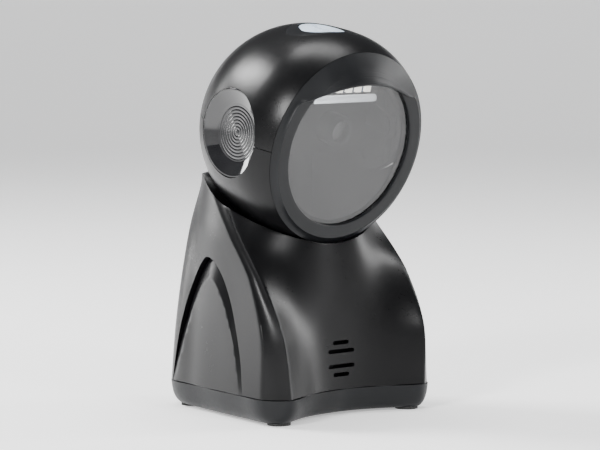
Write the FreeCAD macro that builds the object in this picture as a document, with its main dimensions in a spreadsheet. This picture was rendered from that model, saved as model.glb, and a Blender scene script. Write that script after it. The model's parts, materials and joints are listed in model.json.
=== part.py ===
import FreeCAD, Part
import math
import os
import re

import Sketcher
from FreeCAD import Placement, Rotation, Vector

# A hands-free desktop barcode scanner. Its ball head tilts in the cradle of a winged base.
# Frame: +Z up, -Y the way the window faces, +X to the right of someone who faces the window.
# The finished pieces move back by frame_shift, which puts the origin under the middle of the
# whole, on the surface that the feet stand on. Until then it is the middle of the base.

SIZES = [
    # The base
    ("frame_shift", 2.8, "how far everything moves back to put the origin under the middle"),
    ("base_width", 84.6, "across the front corners, at the seam"),
    ("base_depth", 84.0, "front corners to rear, at the seam"),
    ("foot_height", 0.9, "gap under the tray"),
    ("foot_recess", 0.8, "depth that a foot sits in the tray"),
    ("foot_radius", 4.5, "rubber foot"),
    ("foot_inset", 9.0, "foot centre in from the corner"),
    ("tray_height", 9.25, "tray, from its underside to the seam"),
    ("tray_wall", 2.2, "tray side wall and floor"),
    ("tray_edge", 4.2, "how far the underside stands in from the seam"),
    ("cover_top", 92.7, "height of the wings and the rear wall"),
    ("cover_wall", 2.4, "wall of the base cover"),
    ("recess_top", 61.0, "height of the arch in each side"),
    ("recess_span", 53.0, "length of the arch along the seam"),
    ("recess_middle", 7.0, "arch centre behind the origin"),
    ("recess_depth", 2.8, "step under the arch"),
    ("recess_band", 7.5, "width of the arch groove at its top"),
    # The head
    ("head_height", 110.1, "tilt axis above the table"),
    ("head_back", -10.8, "tilt axis, from the origin along Y"),
    ("head_pitch", 15.0, "degrees that the window looks down"),
    ("ball_radius", 41.3, "outside of the ball"),
    ("barrel_length", 24.4, "ball centre to the bezel seam"),
    ("barrel_widest", 9.0, "ball centre to where the barrel is widest"),
    ("barrel_swell", 0.9, "radius there, more than the ball's"),
    ("barrel_taper", 3.0, "radius at the bezel seam, less than the ball's"),
    ("shell_wall", 2.0, "wall of the head shells"),
    ("seam_gap", 0.15, "half the line between the two head shells"),
    ("cradle_gap", 0.6, "between the front of the cradle and the bezel seam"),
    ("cradle_shift", 2.4, "seat centre, forward and below the ball's"),
    ("cap_radius", 17.2, "pivot cap"),
    ("cap_thickness", 4.0, "pivot cap"),
    ("cap_dish", 2.5, "depth of the dish in a pivot cap"),
    ("cap_flat", 11.0, "radius of the flat middle of a pivot cap"),
    # Bezel and window
    ("bezel_face", 26.5, "ball centre to the face round the window"),
    ("bezel_round", 2.65, "from the bezel seam in to where the face is flat"),
    ("bezel_flat", 5.1, "flat face between its rounded edge and the window"),
    ("window_depth", 1.3, "window behind the face"),
    ("brow_reach", 4.6, "how far the brow stands in front of the face"),
    ("brow_overhang", 2.7, "brow's lip inside the edge of the window"),
    ("brow_root", 19.5, "height where the brow leaves the face"),
    ("brow_wall", 1.8, "thickness of the brow"),
    ("pane_thickness", 1.5, "window pane"),
    ("pane_margin", 1.6, "pane beyond the opening"),
    # Button
    ("button_radius", 9.8, "trigger button"),
    ("button_sink", 0.7, "button face below the top of the ball"),
    ("button_travel", 0.8, "travel of the button"),
    ("button_gap", 0.25, "clearance round the button"),
    ("well_length", 33.4, "oval seat round the button, across the head"),
    ("well_width", 21.6, "oval seat round the button, fore and aft"),
    # Neck and tilt mechanism
    ("neck_radius", 5.5, "column through the cradle"),
    ("neck_offset", 4.5, "column behind the tilt axis"),
    ("neck_clearance", 0.8, "round the column where it passes the shells"),
    ("axle_radius", 3.0, "tilt axle"),
    ("nut_height", 3.2, "lock nut on the axle"),
    ("axle_play", 0.05, "running clearance of the bushes"),
    ("hub_radius", 7.5, "eye on top of the neck"),
    ("hub_width", 17.0, "eye on top of the neck"),
    ("ear_inner", 15.0, "inner face of each ear of the optics frame"),
    ("ear_thickness", 4.0, "ear of the optics frame"),
    ("tilt_up", 25.0, "degrees the head can look up from rest"),
    ("tilt_down", 10.0, "degrees the head can look down from rest"),
    # Speaker and socket
    ("slot_long", 13.5, "the two middle sound slots"),
    ("slot_short", 8.2, "the outer sound slots"),
    ("slot_height", 1.6, "sound slot"),
    ("slot_middle", 22.35, "height of the middle of the slots"),
    ("slot_inner", 2.9, "middle to each inner slot"),
    ("slot_outer", 6.2, "middle to each outer slot"),
    ("speaker_radius", 9.0, "beeper"),
    ("socket_width", 14.0, "cable socket"),
    ("socket_height", 12.0, "cable socket"),
    ("socket_depth", 15.0, "cable socket"),
    ("screw_radius", 1.25, "self-tapping screws"),
]

# Plan of the cover, right half, from the middle of the front round to the middle of the rear. Each
# line climbs the cover, and is drawn at the heights in OUTLINE_LEVELS, as (x, y) in millimetres on
# a base 84.6 wide and 84 deep. The sheet's sizes stretch it.
OUTLINE_WIDTH = 84.6
OUTLINE_DEPTH = 84.0
OUTLINE_LEVELS = (10.15, 33.0, 55.0, 73.0, 92.7)
OUTLINE = {
    "front_middle": ((0, -31.6), (0, -31.0), (0, -29.0), (0, -25.6), (0, -17.0)),
    "front_inner": ((12, -32.8), (12, -31.6), (12, -29.2), (12, -25.6), (12, -16.0)),
    "front_cove": ((24, -37.2), (24.5, -34.6), (25.2, -28.0), (25.5, -20.2), (24.5, -9.0)),
    "front_ridge": ((34.6, -41.4), (36.4, -39.4), (37.4, -27.6), (35.6, -11.5), (29, 8.0)),
    "ridge_groove": ((39.8, -38.4), (39.4, -36.4), (38.5, -25.5), (36.3, -9.2), (29.7, 11.0)),
    "wing_ridge": ((42.2, -33.0), (42.0, -33.2), (39.6, -23.4), (36.8, -7.0), (30, 14.0)),
    "side_front": ((40.9, -21.0), (40.0, -20.0), (38.0, -13.0), (35.6, 1.0), (28.6, 17.3)),
    "side_middle": ((38.2, -3.0), (37.1, -3.0), (35.4, 2.0), (33.4, 10.0), (26.4, 20.6)),
    "side_rear": ((34.6, 17.0), (33.4, 16.0), (31.6, 17.0), (29.8, 19.5), (23, 24.2)),
    "rear_corner": ((28.4, 37.2), (27.8, 35.2), (26.6, 32.2), (25, 29.0), (18, 28.0)),
    "rear_inner": ((16, 41.6), (15.6, 39.8), (15, 36.8), (14, 33.8), (10, 31.0)),
    "rear_middle": ((0, 42.4), (0, 40.8), (0, 38.2), (0, 35.4), (0, 32.4)),
}

X_AXIS = Vector(1, 0, 0)
Y_AXIS = Vector(0, 1, 0)
Z_AXIS = Vector(0, 0, 1)
HALF_SPACE = 120.0  # side of the boxes that cut the head in two

# Places that several pieces share, as sums of the sizes above.
FLOOR_TOP = "(foot_height + tray_wall)"
SEAM = "(foot_height + tray_height)"
RIM = "(ball_radius - barrel_taper)"
FACE_EDGE = f"({RIM} - bezel_round)"
WINDOW_RADIUS = f"({FACE_EDGE} - bezel_flat)"
BROW_RADIUS = f"({WINDOW_RADIUS} - brow_overhang)"
PANE_FRONT = "(-bezel_face + window_depth)"
BUTTON_TOP = "(ball_radius - button_sink)"
AXLE_LENGTH = "((ear_inner + ear_thickness + nut_height + 1.3) * 2)"
NECK_Y = "(head_back + neck_offset)"
# The seat for the head is a sphere a little forward and below the ball, so that it follows the ball
# at the rear and still clears the wider bezel seam at the front.
SEAT_FORWARD = 0.8
SEAT_DOWN = 0.6
SEAT_TOWARDS_SEAM = 0.7
SEAT_Y = f"(head_back - cradle_shift * {SEAT_FORWARD})"
SEAT_Z = f"(head_height - cradle_shift * {SEAT_DOWN})"
SEAT_RADIUS = (
    f"(sqrt({RIM} * {RIM} + barrel_length * barrel_length)"
    f" + cradle_gap - cradle_shift * {SEAT_TOWARDS_SEAM})"
)

doc = FreeCAD.newDocument("Scanner")
sheet = doc.addObject("Spreadsheet::Sheet", "Sizes")
pieces = []


def fill_sheet():
    """Writes each size, its name and what it is."""
    for row, (alias, number, note) in enumerate(SIZES, start=1):
        sheet.set(f"A{row}", alias)
        sheet.set(f"B{row}", str(number))
        sheet.set(f"C{row}", note)
        sheet.setAlias(f"B{row}", alias)
    doc.recompute()


def linked(text):
    """Turns 'ball_radius - shell_wall' into an expression on the sheet's cells."""
    return re.sub(r"[a-z]+_[a-z_]+", lambda word: "Sizes." + word.group(0), str(text))


def size(text):
    """The value of a sum of sizes."""
    found = sheet.evalExpression(linked(text))
    return float(getattr(found, "Value", found))


def bind(thing, where, text):
    thing.setExpression(where, linked(text))


def place(thing, x="0", y="0", z="0", axis=Z_AXIS, angle="0"):
    """Sets a placement whose position and turn follow the sheet."""
    thing.Placement = Placement(Vector(size(x), size(y), size(z)), Rotation(axis, size(angle)))
    for letter, text in (("x", x), ("y", y), ("z", z)):
        bind(thing, f"Placement.Base.{letter}", text)
    if str(angle) != "0":
        bind(thing, "Placement.Rotation.Angle", f"({angle}) * 1 deg" if "_" in angle else f"{angle} deg")
    return thing


def box(name, length, width, height, x="0", y="0", z="0"):
    """A box on the given middle in X and Y, standing on z."""
    made = doc.addObject("Part::Box", name)
    bind(made, "Length", length)
    bind(made, "Width", width)
    bind(made, "Height", height)
    return place(made, f"{x} - ({length}) / 2", f"{y} - ({width}) / 2", z)


def cylinder(name, radius, height, x="0", y="0", z="0", axis=Z_AXIS, angle="0"):
    """A cylinder from the given point along Z, or along Z turned about an axis."""
    made = doc.addObject("Part::Cylinder", name)
    bind(made, "Radius", radius)
    bind(made, "Height", height)
    return place(made, x, y, z, axis, angle)


def along_x(name, radius, length, x="0", y="0", z="0"):
    """A cylinder along +X from the given point."""
    return cylinder(name, radius, length, x, y, z, Y_AXIS, "90")


def along_y(name, radius, length, x="0", y="0", z="0"):
    """A cylinder along +Y from the given point."""
    return cylinder(name, radius, length, x, y, z, X_AXIS, "-90")


def sphere(name, radius, x="0", y="0", z="0"):
    made = doc.addObject("Part::Sphere", name)
    bind(made, "Radius", radius)
    return place(made, x, y, z)


def fused(name, *parts):
    made = doc.addObject("Part::MultiFuse", name)
    made.Shapes = list(parts)
    return made


def cut(name, base, *tools):
    """The base less each tool."""
    made = doc.addObject("Part::Cut", name)
    made.Base = base
    made.Tool = tools[0] if len(tools) == 1 else fused(name + "_tools", *tools)
    return made


def common(name, first, second):
    made = doc.addObject("Part::Common", name)
    made.Base = first
    made.Tool = second
    return made


def group(name, *parts):
    """Several separate solids of one kind, kept as one piece."""
    made = doc.addObject("Part::Compound", name)
    made.Links = list(parts)
    return made


def keep(thing, label, in_head=False):
    """Names a finished piece and moves it to its place: one in the head also pitches with the ball."""
    if not thing.Placement.isIdentity():
        thing = group(label + "_set", thing)
    if in_head:
        place(thing, "0", "head_back + frame_shift", "head_height", X_AXIS, "head_pitch")
    else:
        place(thing, "0", "frame_shift", "0")
    thing.Label = label
    if thing.Label != label:
        raise RuntimeError(f"another object is already called {label}")
    pieces.append(thing)
    return thing


def origin_plane(body, role):
    return next(plane for plane in body.Origin.OriginFeatures if plane.Role == role)


def sketch_on(body, name, role="XY_Plane"):
    sketch = body.newObject("Sketcher::SketchObject", name)
    sketch.AttachmentSupport = [(origin_plane(body, role), "")]
    sketch.MapMode = "FlatFace"
    return sketch


def draw_profile(sketch, points, arcs=None):
    """Closes a profile through points given as pairs of sums of sizes; arcs holds the radius of each
    side that isn't straight, by the number of the point that it starts from, below zero if it turns
    clockwise. Every corner is held at its distance from the origin, and every arc by its radius."""
    arcs = arcs or {}
    count = len(points)
    where = [Vector(size(x), size(y), 0) for x, y in points]
    for i in range(count):
        start, end = where[i], where[(i + 1) % count]
        if i in arcs:
            sketch.addGeometry(arc_between(start, end, size(arcs[i])), False)
        else:
            sketch.addGeometry(Part.LineSegment(start, end), False)
    turned = [i in arcs and size(arcs[i]) < 0 for i in range(count)]
    for i in range(count):
        here = (i, 1 if turned[i] else 2)
        following = (i + 1) % count
        then = (following, 2 if turned[following] else 1)
        sketch.addConstraint(Sketcher.Constraint("Coincident", here[0], here[1], then[0], then[1]))
    for i in range(count):
        corner = 2 if turned[i] else 1
        for kind, text in (("DistanceX", points[i][0]), ("DistanceY", points[i][1])):
            index = sketch.addConstraint(Sketcher.Constraint(kind, -1, 1, i, corner, size(text)))
            sketch.setExpression(f"Constraints[{index}]", linked(text))
    for i, radius in arcs.items():
        index = sketch.addConstraint(Sketcher.Constraint("Radius", i, abs(size(radius))))
        sketch.setExpression(f"Constraints[{index}]", f"abs({linked(radius)})")


def arc_between(start, end, radius):
    """The shorter arc of a radius, counter-clockwise from start to end if the radius is positive."""
    chord = end - start
    half = chord.Length / 2
    rise = math.sqrt(radius * radius - half * half)
    side = Vector(-chord.y, chord.x, 0).normalize() * math.copysign(rise, radius)
    centre = (start + end) / 2 + side
    first, last = (start, end) if radius > 0 else (end, start)
    circle = Part.Circle(centre, Z_AXIS, abs(radius))
    return Part.ArcOfCircle(circle, circle.parameter(first), circle.parameter(last))


def turned(name, points, arcs=None):
    """A PartDesign body: a profile of (radius, height) corners turned about its own Y axis."""
    body = doc.addObject("PartDesign::Body", name)
    sketch = sketch_on(body, name + "_profile")
    draw_profile(sketch, points, arcs)
    solid = body.newObject("PartDesign::Revolution", name + "_turned")
    solid.Profile = sketch
    solid.ReferenceAxis = (sketch, ["V_Axis"])
    solid.Angle = 360
    body.Tip = solid
    return body


def padded(name, points, thickness, arcs=None, role="XY_Plane"):
    """A PartDesign body: a flat profile padded evenly to both sides of its plane."""
    body = doc.addObject("PartDesign::Body", name)
    sketch = sketch_on(body, name + "_profile", role)
    draw_profile(sketch, points, arcs)
    solid = body.newObject("PartDesign::Pad", name + "_pad")
    solid.Profile = sketch
    solid.Midplane = True
    bind(solid, "Length", thickness)
    body.Tip = solid
    return body


# ---------------------------------------------------------------- base cover and tray


def outline_points(level, inset=0.0):
    """The closed plan of the cover at one of its levels, moved inwards by the inset."""
    across = size("base_width") / OUTLINE_WIDTH
    along = size("base_depth") / OUTLINE_DEPTH
    right = [Vector(line[level][0] * across, line[level][1] * along, 0) for line in OUTLINE.values()]
    left = [Vector(-p.x, p.y, 0) for p in reversed(right[1:-1])]
    ring = right + left
    moved = []
    for i, point in enumerate(ring):
        along_ring = ring[(i + 1) % len(ring)] - ring[i - 1]
        inward = Vector(-along_ring.y, along_ring.x, 0).normalize()
        moved.append(point + inward * inset)
    return moved


def outline_parameters():
    """Where each guide line sits round the plan: the same at every level, so that they join."""
    steps = [0.0]
    ring = outline_points(0)
    for i, point in enumerate(ring):
        steps.append(steps[-1] + (ring[(i + 1) % len(ring)] - point).Length)
    return [step / steps[-1] for step in steps]


def level_height(level):
    """The height of a level: the lowest is the seam and the highest the top of the wings."""
    share = (OUTLINE_LEVELS[level] - OUTLINE_LEVELS[0]) / (OUTLINE_LEVELS[-1] - OUTLINE_LEVELS[0])
    return f"{SEAM} * {1 - share} + cover_top * {share}"


def outline_curve(level, inset=0.0):
    curve = Part.BSplineCurve()
    points = outline_points(level, inset)
    curve.interpolate(Points=points, PeriodicFlag=True, Parameters=outline_parameters())
    return curve


def outline_sketch(name, level, height, inset=0.0):
    sketch = doc.addObject("Sketcher::SketchObject", name)
    sketch.addGeometry(outline_curve(level, inset), False)
    return place(sketch, z=height)


def lofted(name, inset, below, above):
    """A solid through the outline at every level."""
    sections = []
    for level in range(len(OUTLINE_LEVELS)):
        height = level_height(level)
        if level == 0:
            height = f"{height} - {below}"
        if level == len(OUTLINE_LEVELS) - 1:
            height = f"{height} + {above}"
        sections.append(outline_sketch(f"{name}_{level}", level, height, inset))
    made = doc.addObject("Part::Loft", name)
    made.Sections = sections
    made.Solid = True
    made.Ruled = False
    return made


def front_wall(share):
    """How far forward the middle of the cover's front is, between two of its levels."""
    line = OUTLINE["front_middle"]
    along = size("base_depth") / OUTLINE_DEPTH
    return (line[0][1] * (1 - share) + line[1][1] * share) * along


def arch(name, top, span):
    """A prism along X under an arch that stands on the seam."""
    foot = f"{SEAM} - 1"
    shoulder = f"({foot}) * 0.45 + ({top}) * 0.55"
    points = [
        (f"recess_middle - ({span}) / 2", foot),
        (f"recess_middle + ({span}) / 2", foot),
        (f"recess_middle + ({span}) * 0.38", shoulder),
        ("recess_middle", top),
        (f"recess_middle - ({span}) * 0.38", shoulder),
    ]
    arcs = {1: f"({span}) * 2", 2: f"({span}) * 0.55", 3: f"({span}) * 0.55", 4: f"({span}) * 2"}
    return padded(name, points, "base_width * 2", arcs, role="YZ_Plane")


def arch_core(name, less="0"):
    """What the arch grooves leave between them: slanted sides that meet the wall at the seam."""
    foot = f"base_width * 0.48 - ({less})"
    top = f"base_width * 0.405 - recess_depth - ({less})"
    low = f"{SEAM} - 2"
    high = "recess_top + cover_wall + 2"
    return padded(
        name,
        [(f"-({foot})", low), (foot, low), (top, high), (f"-({top})", high)],
        "base_depth * 2",
        role="XZ_Plane",
    )


def side_recess():
    """The groove under the arch on both sides: deepest at its top and running out at the seam."""
    band = cut(
        "arch_band",
        arch("arch_outer", "recess_top", "recess_span"),
        arch("arch_inner", "recess_top - recess_band", "recess_span - recess_band"),
    )
    return cut("side_recess", band, arch_core("groove_core"))


def recess_backing():
    """Where the wall stays thick behind the grooves."""
    behind = arch("arch_behind", "recess_top + cover_wall", "recess_span + cover_wall * 2")
    return cut("recess_backing", behind, arch_core("backing_core", "cover_wall"))


def sound_slots():
    """Four slots across the front, the outer two shorter."""
    made = []
    for i, (length, rise) in enumerate(
        (
            ("slot_short", "-slot_outer"),
            ("slot_long", "-slot_inner"),
            ("slot_long", "slot_inner"),
            ("slot_short", "slot_outer"),
        )
    ):
        depth = "base_depth * 0.2"
        height = f"slot_middle + {rise} - slot_height / 2"
        y = "-base_depth * 0.38"
        straight = box(f"slot_{i}", f"{length} - slot_height", depth, "slot_height", y=y, z=height)
        made.append(straight)
        for side in ("-", "+"):
            x = f"0 {side} ({length} - slot_height) / 2"
            start = f"{y} - ({depth}) / 2"
            middle = f"slot_middle + {rise}"
            end = along_y(f"slot_{i}_end", "slot_height / 2", depth, x, start, middle)
            made.append(end)
    return made


SOCKET_Y = "base_depth * 0.5 - socket_depth / 2 - 2.5"
SOCKET_Z = f"({SEAM} + 1.6)"
BOSS_X = "base_width * 0.32"
BOSS_Y = "base_depth * 0.26"
BOSS_RADIUS = "3.2"
SCREW_HOLE = "screw_radius + 0.2"
SCREW_HEAD = "1.4"  # height of a screw's head
FOOT_X = "(base_width / 2 - foot_inset)"
FOOT_FRONT = "-base_depth / 2 + foot_inset"
FOOT_REAR = "base_depth / 2 - foot_inset * 1.3"
FEET = [
    (f"-{FOOT_X}", FOOT_FRONT),
    (FOOT_X, FOOT_FRONT),
    (f"{FOOT_X} * 0.7", FOOT_REAR),
    (f"-{FOOT_X} * 0.7", FOOT_REAR),
]


def boss_places():
    """The four screw posts that join the tray and the cover."""
    return [(f"{BOSS_X} * {sx}", f"{BOSS_Y} * {sy}") for sx, sy in ((-1, -1), (1, -1), (1, 1), (-1, 1))]


def neck_fixings():
    """The three screws that hold the neck's foot to the tray."""
    ring = [math.radians(90 + 120 * i) for i in range(3)]
    return [
        (f"neck_radius * {1.7 * math.cos(angle)}", f"{NECK_Y} + neck_radius * {1.7 * math.sin(angle)}")
        for angle in ring
    ]


def base_cover():
    """Free-form shell of even wall with a spherical cradle, side recesses, slots and screw bosses."""
    outside = lofted("cover_outside", 0.0, "0", "0")
    inside = lofted("cover_inside", size("cover_wall"), "1", "1")
    cradle_wall = sphere("cradle_wall", f"{SEAT_RADIUS} + cover_wall", y=SEAT_Y, z=SEAT_Z)
    bosses = [
        cylinder(f"cover_boss_{i}", BOSS_RADIUS, "base_depth", x, y, SEAM)
        for i, (x, y) in enumerate(boss_places())
    ]
    hollow = cut("cover_hollow", inside, cradle_wall, recess_backing(), *bosses)
    cradle = sphere("cradle", SEAT_RADIUS, y=SEAT_Y, z=SEAT_Z)
    neck_hole = cylinder("neck_hole", "neck_radius + neck_clearance", "40", y=NECK_Y, z="head_height - 60")
    window = box(
        "socket_window",
        "socket_width + 0.6",
        "16",
        "socket_height + 0.6",
        y="base_depth * 0.5",
        z=f"{SOCKET_Z} - 0.3",
    )
    pilots = [
        cylinder(f"cover_pilot_{i}", "screw_radius", "13", x, y, f"{SEAM} - 1")
        for i, (x, y) in enumerate(boss_places())
    ]
    tools = [hollow, cradle, neck_hole, window, side_recess(), *pilots, *sound_slots()]
    keep(cut("cover_shell", outside, *tools), "base_cover")


# The tray's side, from its underside up: (share of its height, share of tray_edge that it stands in).
TRAY_SIDE = ((0.0, 1.0), (0.1, 0.64), (0.4, 0.24), (1.0, 0.0))


def tray_blank():
    """The cover's outline carried down with sides that round inwards, hollow from above."""
    sections = []
    for i, (up, inward) in enumerate(TRAY_SIDE):
        height = f"foot_height + tray_height * {up}"
        sections.append(outline_sketch(f"tray_{i}", 0, height, size(f"tray_edge * {inward}")))
    outside = doc.addObject("Part::Loft", "tray_outside")
    outside.Sections = sections
    outside.Solid = True
    outside.Ruled = False
    rim = outline_sketch("tray_rim", 0, FLOOR_TOP, size("tray_wall + tray_edge * 0.25"))
    pocket = doc.addObject("Part::Extrusion", "tray_pocket")
    pocket.Base = rim
    pocket.Dir = Z_AXIS
    pocket.Solid = True
    bind(pocket, "LengthFwd", "tray_height")
    return cut("tray_hollow", outside, pocket)


def base_tray():
    """Shallow tray with posts for its screws, the neck's screw holes and pockets for the feet."""
    posts = []
    holes = []
    for i, (x, y) in enumerate(boss_places()):
        posts.append(cylinder(f"tray_post_{i}", BOSS_RADIUS, "tray_height - tray_wall", x, y, FLOOR_TOP))
        holes.append(cylinder(f"tray_hole_{i}", SCREW_HOLE, "tray_height + 2", x, y, "foot_height - 1"))
        holes.append(cylinder(f"tray_sink_{i}", "2.8", "2.6", x, y, "foot_height - 1"))
    for i, (x, y) in enumerate(neck_fixings()):
        holes.append(cylinder(f"neck_fixing_{i}", SCREW_HOLE, "tray_height", x, y, "foot_height - 1"))
        holes.append(cylinder(f"neck_sink_{i}", "2.5", "2.2", x, y, "foot_height - 1"))
    for i, (x, y) in enumerate(FEET):
        holes.append(cylinder(f"foot_pocket_{i}", "foot_radius + 0.05", "foot_recess + 1", x, y, "foot_height - 1"))
    keep(cut("tray_drilled", fused("tray_whole", tray_blank(), *posts), *holes), "base_tray")


def rubber_feet():
    feet = [
        cylinder(f"foot_{i}", "foot_radius", "foot_height + foot_recess", x, y)
        for i, (x, y) in enumerate(FEET)
    ]
    keep(group("feet", *feet), "rubber_feet")


def screw(name, length, x, y, z, head="2.4", up=True):
    """A pan-head screw of the given thread length under a head that rests against z."""
    head_z, shank_z = (f"{z} - {SCREW_HEAD}", f"{z} - 0.5") if up else (z, f"{z} - ({length})")
    shank = cylinder(name + "_shank", "screw_radius", f"{length} + 0.5", x, y, shank_z)
    cap = cylinder(name + "_head", head, SCREW_HEAD, x, y, head_z)
    return fused(name, shank, cap)


def base_screws():
    made = []
    for i, (x, y) in enumerate(boss_places()):
        made.append(screw(f"base_screw_{i}", "17", x, y, "foot_height + 1.6"))
    keep(group("base_screw_set", *made), "base_screws")


def ballast():
    """Steel weight on the tray's floor, clear of the neck's foot and the posts, and its screws."""
    plate = box("ballast_blank", "base_width * 0.5", "base_depth * 0.62", "4", z=FLOOR_TOP)
    foot_hole = cylinder("ballast_hole", "neck_radius * 2.6 + 0.5", "8", y=NECK_Y, z="foot_height")
    places = [(f"base_width * {0.2 * s}", "base_depth * 0.13") for s in (-1, 1)]
    holes = []
    fixings = []
    for i, (x, y) in enumerate(places):
        holes.append(cylinder(f"ballast_drill_{i}", "screw_radius + 0.1", "8", x, y, "foot_height"))
        fixings.append(screw(f"ballast_screw_{i}", "4", x, y, f"{FLOOR_TOP} + 4", up=False))
    keep(cut("ballast_plate_cut", plate, foot_hole, *holes), "ballast_plate")
    keep(group("ballast_screw_set", *fixings), "ballast_screws")


def interface_board():
    """Board across the rear of the base, on two pillars, with the cable socket on it."""
    depth = "base_depth * 0.24"
    middle = f"base_depth * 0.5 - 4 - ({depth}) / 2"
    board = box("board_blank", "base_width * 0.42", depth, "1.6", y=middle, z=f"{SOCKET_Z} - 1.6")
    keep(board, "interface_board")
    housing = box("socket_blank", "socket_width", "socket_depth", "socket_height", y=SOCKET_Y, z=SOCKET_Z)
    cavity = box(
        "socket_cavity",
        "socket_width - 2.4",
        "socket_depth - 2",
        "socket_height - 3",
        y=f"{SOCKET_Y} + 1.5",
        z=f"{SOCKET_Z} + 1.2",
    )
    key = box("socket_key", "4.6", "socket_depth - 2", "2", y=f"{SOCKET_Y} + 1.5", z=f"{SOCKET_Z} + socket_height - 2.4")
    keep(cut("socket_cut", housing, cavity, key), "cable_socket")
    pillars = []
    for i, side in enumerate((-1, 1)):
        x = f"base_width * {0.17 * side}"
        y = f"base_depth * 0.5 - 4 - ({depth}) + 3"
        height = f"{SOCKET_Z} - 1.6 - ({FLOOR_TOP}) - 4"
        pillars.append(cylinder(f"board_pillar_{i}", "2.6", height, x, y, f"{FLOOR_TOP} + 4"))
    keep(group("board_pillar_set", *pillars), "board_pillars")


def speaker():
    """Round beeper behind the slots and the ring that clips it to the front wall."""
    share = (size("slot_middle") - OUTLINE_LEVELS[0]) / (OUTLINE_LEVELS[1] - OUTLINE_LEVELS[0])
    wall = front_wall(share) + size("cover_wall")
    front = f"{wall + 1.5}"
    can = along_y("speaker_can", "speaker_radius", "4", y=front, z="slot_middle")
    magnet = along_y("speaker_magnet", "speaker_radius * 0.5", "2.5", y=f"{front} + 3.99", z="slot_middle")
    keep(fused("speaker_whole", can, magnet), "speaker")
    rim = along_y("holder_rim", "speaker_radius + 1.8", "6", y=f"{front} - 1", z="slot_middle")
    bore = along_y("holder_bore", "speaker_radius + 0.05", "8", y=f"{front}", z="slot_middle")
    mouth = along_y("holder_mouth", "speaker_radius - 1.2", "8", y=f"{front} - 2", z="slot_middle")
    keep(cut("holder_cut", rim, bore, mouth), "speaker_holder")


# ---------------------------------------------------------------- neck and tilt mechanism


def neck():
    """Column from the tray's floor to an eye on the tilt axis, hollow for the harness."""
    foot = cylinder("neck_foot", "neck_radius * 2.6", "4", y=NECK_Y, z=FLOOR_TOP)
    column = cylinder(
        "neck_column", "neck_radius", f"head_height - ({FLOOR_TOP}) - 2", y=NECK_Y, z=f"{FLOOR_TOP} + 2"
    )
    hub = along_x("neck_hub", "hub_radius", "hub_width", "-hub_width / 2", "head_back", "head_height")
    bore = along_x("neck_bore", "axle_radius", "hub_width + 2", "-hub_width / 2 - 1", "head_back", "head_height")
    duct_height = f"head_height - hub_radius - ({FLOOR_TOP}) - 8"
    duct = cylinder("neck_duct", "neck_radius - 2.2", duct_height, y=NECK_Y, z=f"{FLOOR_TOP} + 6")
    mouth = along_y("neck_mouth", "neck_radius - 2.7", "neck_radius + 2", y=NECK_Y, z=f"{FLOOR_TOP} + 11")
    pilots = []
    fixings = []
    for i, (x, y) in enumerate(neck_fixings()):
        pilots.append(cylinder(f"neck_pilot_{i}", "screw_radius", "3.4", x, y, FLOOR_TOP))
        fixings.append(screw(f"neck_screw_{i}", "4", x, y, "foot_height + 1.2", head="2.2"))
    whole = fused("neck_whole", foot, column, hub)
    keep(cut("neck_drilled", whole, bore, duct, mouth, *pilots), "neck_post")
    keep(group("neck_screw_set", *fixings), "neck_screws")


def mirrored_rings(label, name, outer, bore, start, length, in_head):
    """The same ring on both sides of the neck, round the tilt axis."""
    pair = []
    for side in (-1, 1):
        x = start if side > 0 else f"-({start}) - ({length})"
        whole = along_x(f"{name}_outer_{side}", outer, length, x)
        hole = along_x(f"{name}_hole_{side}", bore, f"{length} + 2", f"{x} - 1")
        pair.append(cut(f"{name}_{side}", whole, hole))
    both = group(name + "_pair", *pair)
    if not in_head:
        place(both, "0", "head_back", "head_height")
    keep(both, label, in_head)


BUSH_INNER = "hub_width / 2 + 2"


def tilt_mechanism():
    """Axle through the neck's eye, friction washers, bushes in the ears and lock nuts."""
    axle = along_x("axle", "axle_radius", AXLE_LENGTH, f"-{AXLE_LENGTH} / 2", "head_back", "head_height")
    keep(axle, "tilt_axle")
    washer = "hub_width / 2"
    mirrored_rings("friction_washers", "washer", "6", "axle_radius", washer, "1.9", False)
    bore = "axle_radius + axle_play"
    bush_length = f"ear_inner + ear_thickness - ({BUSH_INNER}) + 0.1"
    mirrored_rings("axle_bushes", "bush", "axle_radius + 1.6", bore, BUSH_INNER, bush_length, True)
    nut_start = "ear_inner + ear_thickness + 0.2"
    mirrored_rings("axle_nuts", "nut", "5", "axle_radius", nut_start, "nut_height", False)


# ---------------------------------------------------------------- head shells


def head_volume(name, less):
    """The ball and its barrel, smaller all over by less: turned about Y with the window at -Y. Three
    arcs, each tangent to the next: the ball, the swelling barrel, and its taper to the bezel seam."""
    ball = f"(ball_radius - ({less}))"
    bow = "(barrel_widest * barrel_widest / (2 * barrel_swell))"
    tangent_x = f"({bow} - barrel_swell / 2) / ({bow} + barrel_swell / 2)"
    tangent_y = f"barrel_widest / ({bow} + barrel_swell / 2)"
    narrowing = "(barrel_swell + barrel_taper)"
    run = "(barrel_length - barrel_widest)"
    points = [
        ("0", ball),
        ("0", "-barrel_length"),
        (f"{RIM} - ({less})", "-barrel_length"),
        (f"{ball} + barrel_swell", "-barrel_widest"),
        (f"{ball} * {tangent_x}", f"{ball} * {tangent_y}"),
    ]
    arcs = {
        2: f"({run} * {run} + {narrowing} * {narrowing}) / (2 * {narrowing})",
        3: f"{ball} + barrel_swell / 2 + {bow}",
        4: ball,
    }
    return turned(name, points, arcs)


def half_space(name, upper):
    z = "seam_gap" if upper else f"-seam_gap - {HALF_SPACE}"
    return box(name, f"{HALF_SPACE}", f"{HALF_SPACE}", f"{HALF_SPACE}", z=z)


REAR_SCREW_X = "20"
REAR_SCREW_Y = "(ball_radius - 19)"


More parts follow.
